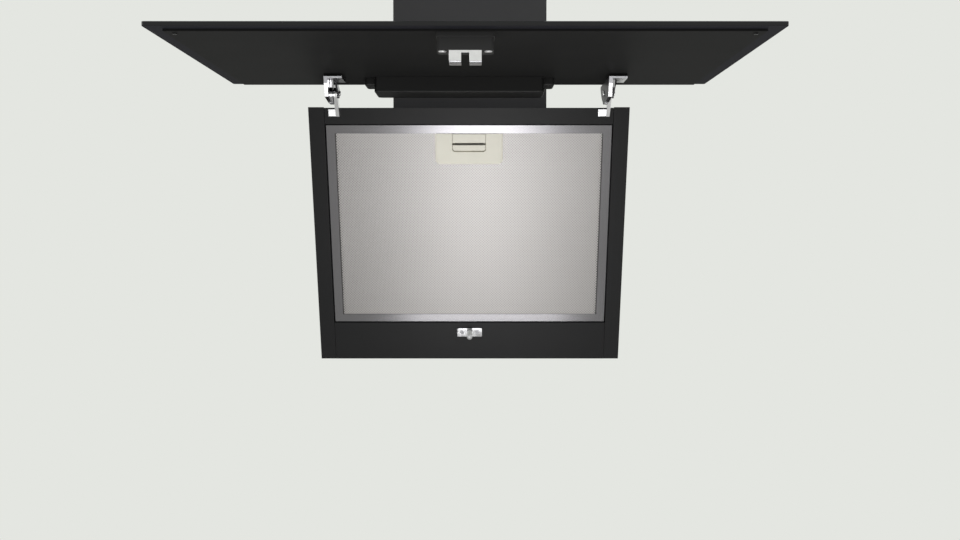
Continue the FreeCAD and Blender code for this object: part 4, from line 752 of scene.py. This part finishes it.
def screws(node, way, material, rim, across, deep):
    """Screws of a CAD node with rounded rims, and a cross recess cut in each head."""
    piece = copied(node)
    rounded(piece, rim, segments=3)
    in_edit(piece)
    bpy.ops.mesh.separate(type="LOOSE")
    bpy.ops.object.mode_set(mode="OBJECT")
    heads = list(bpy.context.selected_objects)
    turn = Vector((0, 0, 1)).rotation_difference(way).to_matrix().to_4x4()
    blade = driver_blade(across, deep)
    for head in heads:
        height = reach(head.data, way)
        top = [vertex.co for vertex in head.data.vertices if vertex.co.dot(way) > height - TOP]
        middle = sum(top, Vector()) / len(top)
        for spin in (0, 90):
            crossing = Matrix.Rotation(math.radians(spin), 4, "Z")
            blade.matrix_world = Matrix.Translation(middle) @ turn @ crossing
            bpy.context.view_layer.update()
            applied(head, "BOOLEAN", object=blade, operation="DIFFERENCE", solver="EXACT")
    bpy.data.objects.remove(blade)
    bpy.ops.object.select_all(action="DESELECT")
    for head in heads:
        head.select_set(True)
    bpy.context.view_layer.objects.active = heads[0]
    bpy.ops.object.join()
    return in_place_of(node, bpy.context.object, material, "_driven")


class HOOD_OT_body(Operator):
    """Coat the body panels and bars, and ease their cut edges"""

    bl_idname = "hood.body"
    bl_label = "Body"

    def execute(self, context):
        coat = body_coat()
        for node in ("side_panel_left", "side_panel_right", "front_top_bar", "front_bottom_bar"):
            eased(node, sizes().sheet_ease, coat)
        dressed(coat, "back_panel", "top_panel", "bottom_panel")
        # the rails are painted shade in black, in the gap beside the filter
        dressed(painted_shade_sheet(), "filter_rail_left", "filter_rail_right")
        return {"FINISHED"}


class HOOD_OT_chimney(Operator):
    """Coat the chimney covers and round their folds"""

    bl_idname = "hood.chimney"
    bl_label = "Chimney"

    def execute(self, context):
        for node in ("chimney_lower", "chimney_upper"):
            eased(node, sizes().fold_ease, body_coat(), segments=3)
        dressed(galvanised(), "chimney_feet", "chimney_wall_bracket")
        return {"FINISHED"}


class HOOD_OT_glass(Operator):
    """Make the flap's glass with its ground edges"""

    bl_idname = "hood.glass"
    bl_label = "Glass"

    def execute(self, context):
        low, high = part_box("glass_panel")
        glass = block((low + high) / 2, high - low)
        in_edit(glass, edges=lambda middle, way: abs(way.z) > RUN)
        bpy.ops.mesh.bevel(offset=GLASS_CORNER, segments=5)
        bpy.ops.object.mode_set(mode="OBJECT")
        in_edit(glass, edges=lambda middle, way: abs(way.z) < NEAR)
        bpy.ops.mesh.bevel(offset=sizes().glass_bevel, segments=2)
        bpy.ops.object.mode_set(mode="OBJECT")
        finished(glass, "flap_glass", black_glass(), "flap", ["glass_panel"])
        faced(glass, fired_enamel(), lambda face: face.normal.z < -SQUARE_ON)
        return {"FINISHED"}


class HOOD_OT_flap(Operator):
    """Finish the pieces under the glass"""

    bl_idname = "hood.flap"
    bl_label = "Flap"

    def execute(self, context):
        eased("inner_panel", sizes().sheet_ease, panel_coat())
        self.housing("control_housing")
        dressed(cell_rubber_and_painted_shade(), "bonding_strips")
        dressed(circuit_board(), "control_board")
        dressed(grey_polycarbonate(), "touch_strip")
        screws("panel_screws", DOWN, black_oxide_and_painted_shade(), rim=0.5 * MM, across=3.2 * MM, deep=0.7 * MM)
        return {"FINISHED"}

    def housing(self, node):
        """Control housing whose two end lugs are shallow, with well rounded lower edges."""
        low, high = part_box(node)
        bottom = high.z - LUG_HEIGHT

        def on_lug(point, level):
            """Whether a point is on a lug, at a level."""
            in_lug = not low.x + LUG_LENGTH < point.x < high.x - LUG_LENGTH
            return in_lug and abs(point.z - level) < NEAR

        piece = copied(node)
        in_edit(piece, faces=lambda middle, normal: normal.z < -SQUARE_ON and on_lug(middle, bottom))
        bpy.ops.transform.translate(value=(0, 0, LUG_TRIM))
        bpy.ops.object.mode_set(mode="OBJECT")
        in_edit(piece, edges=lambda middle, way: on_lug(middle, bottom + LUG_TRIM))
        bpy.ops.mesh.bevel(offset=LUG_EASE, segments=4)
        bpy.ops.object.mode_set(mode="OBJECT")
        rounded(piece, sizes().mould_ease, segments=2)
        in_place_of(node, piece, black_abs_and_painted_shade())


class HOOD_OT_hinges(Operator):
    """Finish the two hinges"""

    bl_idname = "hood.hinges"
    bl_label = "Hinges"

    def execute(self, context):
        for side in ("left", "right"):
            self.arm("hinge_arm_" + side)
            self.bracket("hinge_bracket_" + side)
            self.lip("hinge_bracket_" + side)
            eased("hinge_pin_" + side, PRESS_EASE, hinge_zinc())
        dressed(cell_rubber_and_painted_shade(), "hinge_spacers")
        screws("hinge_screws", DOWN, bracket_zinc(), rim=0.15 * MM, across=4.4 * MM, deep=1.4 * MM)
        return {"FINISHED"}

    def arm(self, node):
        """Arm whose foot on the top bar has a satin face."""
        low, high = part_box(node)
        middle = (low.x + high.x) / 2
        piece = eased(node, PRESS_EASE, hinge_zinc())
        faced(piece, satin_zinc_and_painted_highlight(),
              lambda face: face.normal.dot(OUTWARD) > SQUARE_ON and face.center.x < middle)

    def bracket(self, node):
        """Bracket whose ear and plate slant back at the front, with a painted highlight on the ear's nose
        and painted shade on its left sides and front edges.
        """
        low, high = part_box(node)
        inside = low.x + EAR_THICKNESS
        nose_top = high.z - NOSE_HIGHLIGHT_DROP
        slanted = (0, -math.cos(EAR_SLANT), -math.sin(EAR_SLANT))
        piece = copied(node)
        in_edit(piece)
        bpy.ops.mesh.bisect(plane_co=(0, low.y, high.z), plane_no=slanted, use_fill=True, clear_outer=True)
        bpy.ops.mesh.select_all(action="SELECT")
        bpy.ops.mesh.bisect(plane_co=(0, 0, nose_top), plane_no=(0, 0, 1))
        bpy.ops.object.mode_set(mode="OBJECT")
        rounded(piece, PRESS_EASE, segments=2)
        in_place_of(node, piece, bracket_zinc())

        def in_front(face):
            """Whether a face looks to the front."""
            return face.normal.y < -MOSTLY_ON

        # the left sides and front edges are painted shade in duller zinc
        faced(piece, dull_zinc_and_painted_shade(),
              lambda face: face.normal.x < -SQUARE_ON or in_front(face) and face.center.x > inside)
        # the nose's pale front is a painted highlight
        faced(piece, satin_zinc_and_painted_highlight(),
              lambda face: in_front(face) and face.center.x < inside and face.center.z < nose_top)

    def lip(self, node):
        """Lip folded down between a bracket's two ears, just under its plate."""
        low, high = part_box(node)
        piece = block(Vector((low.x, low.y, high.z)) + LIP_PLACE, LIP_SIZE, LIP_TILT)
        foot = -reach(piece.data, DOWN) + LIP_FOOT
        in_edit(piece, edges=lambda middle, way: abs(way.x) > RUN and middle.z < foot)
        bpy.ops.mesh.bevel(offset=LIP_EASE, segments=4)
        bpy.ops.object.mode_set(mode="OBJECT")
        finished(piece, node.replace("bracket", "lip"), rolled_zinc(), body_of(node))


class HOOD_OT_catch(Operator):
    """Finish the catch under the flap and the strike on the bottom bar"""

    bl_idname = "hood.catch"
    bl_label = "Catch"

    def execute(self, context):
        eased("catch_block", sizes().mould_ease, matt_abs())
        fork = eased("catch_fork", FORK_EASE, bright_zinc())
        # the fork's lower and side faces are painted shade in duller zinc
        faced(fork, dull_zinc_and_painted_shade(), lambda face: face.normal.z < -PARTLY_ON or abs(face.normal.x) > HALF_ON)
        eased("strike_plate", FORK_EASE, rolled_zinc())
        # the stud's pale body is a painted highlight, and its outward nose painted shade
        stud = eased("strike_stud", STUD_EASE, painted_highlight_zinc())
        faced(stud, painted_shade_zinc(), lambda face: face.normal.dot(OUTWARD) > PARTLY_ON)
        screws("strike_screws", OUTWARD, dull_zinc_and_painted_shade(), rim=0.6 * MM, across=3.8 * MM, deep=1.0 * MM)
        screws("catch_screws", DOWN, satin_zinc_and_painted_highlight(), rim=1.2 * MM, across=2.6 * MM, deep=0.6 * MM)
        return {"FINISHED"}


class HOOD_OT_filter(Operator):
    """Finish the grease filter, its handle and its latch"""

    bl_idname = "hood.filter"
    bl_label = "Filter"

    def execute(self, context):
        solids = frame["nodes"]
        mesh_end = reach(solids["filter_mesh_front"].data, DOWN_FRONT)
        handle_top = reach(solids["filter_handle"].data, -DOWN_FRONT)
        folded = eased("filter_frame", sizes().sheet_ease, brushed_aluminium())
        # the frame's lower end, in the gap below the filter, is painted shade in black oxide
        faced(folded, black_oxide_and_painted_shade(), lambda face: face.center.dot(DOWN_FRONT) > mesh_end + FRAME_PAINTED_SHADE)
        dressed(expanded_mesh(), "filter_mesh_front", "filter_core", "filter_mesh_back")
        eased("filter_handle", sizes().mould_ease, ivory_abs())
        latch = eased("filter_latch", sizes().mould_ease, ivory_abs())
        # the latch's bolt above the handle is painted shade in black
        faced(latch, black_abs_and_painted_shade(), lambda face: face.center.dot(-DOWN_FRONT) > handle_top)
        # the latch's lower face is painted shade in black rubber, darkening the slot below it
        faced(latch, cell_rubber_and_painted_shade(), lambda face: face.normal.dot(DOWN_FRONT) > SQUARE_ON)
        return {"FINISHED"}


class HOOD_OT_fan(Operator):
    """Finish the fan, its scroll and its motor"""

    bl_idname = "hood.fan"
    bl_label = "Fan"

    def execute(self, context):
        dressed(galvanised(), "scroll_left", "scroll_right", "motor_mount")
        dressed(grey_polypropylene(), "inlet_ring_left", "inlet_ring_right", "impeller")
        dressed(motor_coat(), "motor")
        dressed(ground_steel(), "motor_shaft", "damper_rod")
        return {"FINISHED"}


class HOOD_OT_duct(Operator):
    """Finish the outlet collar, its flaps and the gland"""

    bl_idname = "hood.duct"
    bl_label = "Duct outlet"

    def execute(self, context):
        dressed(black_polypropylene(), "outlet_collar", "damper_flap_front", "damper_flap_rear",
                "cable_gland")
        return {"FINISHED"}


class HOOD_OT_electrics(Operator):
    """Finish the lamps and the electronics box"""

    bl_idname = "hood.electrics"
    bl_label = "Electrics"

    def execute(self, context):
        dressed(grey_polycarbonate(), "electronics_box", "electronics_lid")
        dressed(circuit_board(), "supply_board")
        dressed(turned_aluminium(), "lamp_housings")
        dressed(lens_glass(), "lamp_lenses")
        return {"FINISHED"}


class HOOD_OT_stage(Operator):
    """Set the floor, backdrop, lights and camera"""

    bl_idname = "hood.stage"
    bl_label = "Stage"

    def execute(self, context):
        self.floor()
        self.backdrop(context.scene)
        for lamp in LAMPS:
            self.lamp(*lamp)
        self.camera(context.scene)
        context.scene.view_settings.view_transform = "Standard"
        return {"FINISHED"}

    def floor(self):
        """Plain floor."""
        bpy.ops.object.select_all(action="DESELECT")
        bpy.ops.mesh.primitive_plane_add(size=FLOOR_SIZE, location=FLOOR_PLACE)
        floor = bpy.context.object
        floor.name = "floor"
        floor.data.materials.append(floor_paint())

    def backdrop(self, scene):
        """Plain backdrop in sight and in mirrors, and a weaker even light on everything."""
        world = scene.world or bpy.data.worlds.new("studio")
        scene.world = world
        world.use_nodes = True
        tree = world.node_tree
        tree.nodes.clear()
        rays = add(tree, "ShaderNodeLightPath").outputs
        seen = rays["Is Camera Ray"]
        for kind in ("Is Glossy Ray", "Is Transmission Ray"):
            seen = add(tree, "ShaderNodeMath", links={0: seen, 1: rays[kind]}, operation="MAXIMUM")
        shown = add(tree, "ShaderNodeBackground", {"Color": (*colours().backdrop, 1), "Strength": 1.0})
        even = add(tree, "ShaderNodeBackground", {"Color": (1, 1, 1, 1), "Strength": EVEN_LIGHT})
        mix = add(tree, "ShaderNodeMixShader", links={"Fac": seen, 1: even, 2: shown})
        add(tree, "ShaderNodeOutputWorld", links={"Surface": mix})

    def lamp(self, name, place, target, across, along, power):
        """Soft box that the camera doesn't see."""
        bpy.ops.object.light_add(type="AREA", location=place)
        lamp = bpy.context.object
        lamp.name = name
        lamp.data.shape = "RECTANGLE"
        lamp.data.size = across
        lamp.data.size_y = along
        lamp.data.energy = power
        lamp.rotation_euler = (Vector(target) - Vector(place)).to_track_quat("-Z", "Y").to_euler()
        lamp.visible_camera = False

    def camera(self, scene):
        """Camera in front of the hood, looking very slightly down."""
        bpy.ops.object.camera_add(location=CAMERA_PLACE, rotation=(CAMERA_TILT, 0, 0))
        camera = bpy.context.object
        camera.data.sensor_width = CAMERA_SENSOR
        camera.data.lens = CAMERA_LENS
        scene.camera = camera


OPERATORS = (
    HOOD_OT_body, HOOD_OT_chimney, HOOD_OT_glass, HOOD_OT_flap, HOOD_OT_hinges, HOOD_OT_catch,
    HOOD_OT_filter, HOOD_OT_fan, HOOD_OT_duct, HOOD_OT_electrics, HOOD_OT_stage,
)


class HOOD_PT_sidebar(Panel):
    """Sizes, colours and steps of the hood"""

    bl_idname = "HOOD_PT_sidebar"
    bl_label = "Hood"
    bl_space_type = "VIEW_3D"
    bl_region_type = "UI"
    bl_category = "Hood"

    def draw(self, context):
        layout = self.layout
        for group in (context.scene.hood_sizes, context.scene.hood_colours):
            for name in group.__annotations__:
                layout.prop(group, name)
        for operator in OPERATORS:
            layout.operator(operator.bl_idname)


CLASSES = (HoodSizes, HoodColours, *OPERATORS, HOOD_PT_sidebar)


def register():
    """Add the classes and the scene's properties."""
    for cls in CLASSES:
        bpy.utils.register_class(cls)
    bpy.types.Scene.hood_sizes = PointerProperty(type=HoodSizes)
    bpy.types.Scene.hood_colours = PointerProperty(type=HoodColours)


def unregister():
    """Take them away again."""
    del bpy.types.Scene.hood_colours
    del bpy.types.Scene.hood_sizes
    for cls in reversed(CLASSES):
        bpy.utils.unregister_class(cls)


def main():
    """Register, and make everything in order."""
    register()
    for operator in OPERATORS:
        group, name = operator.bl_idname.split(".")
        getattr(getattr(bpy.ops, group), name)()


if __name__ == "__main__":
    main()
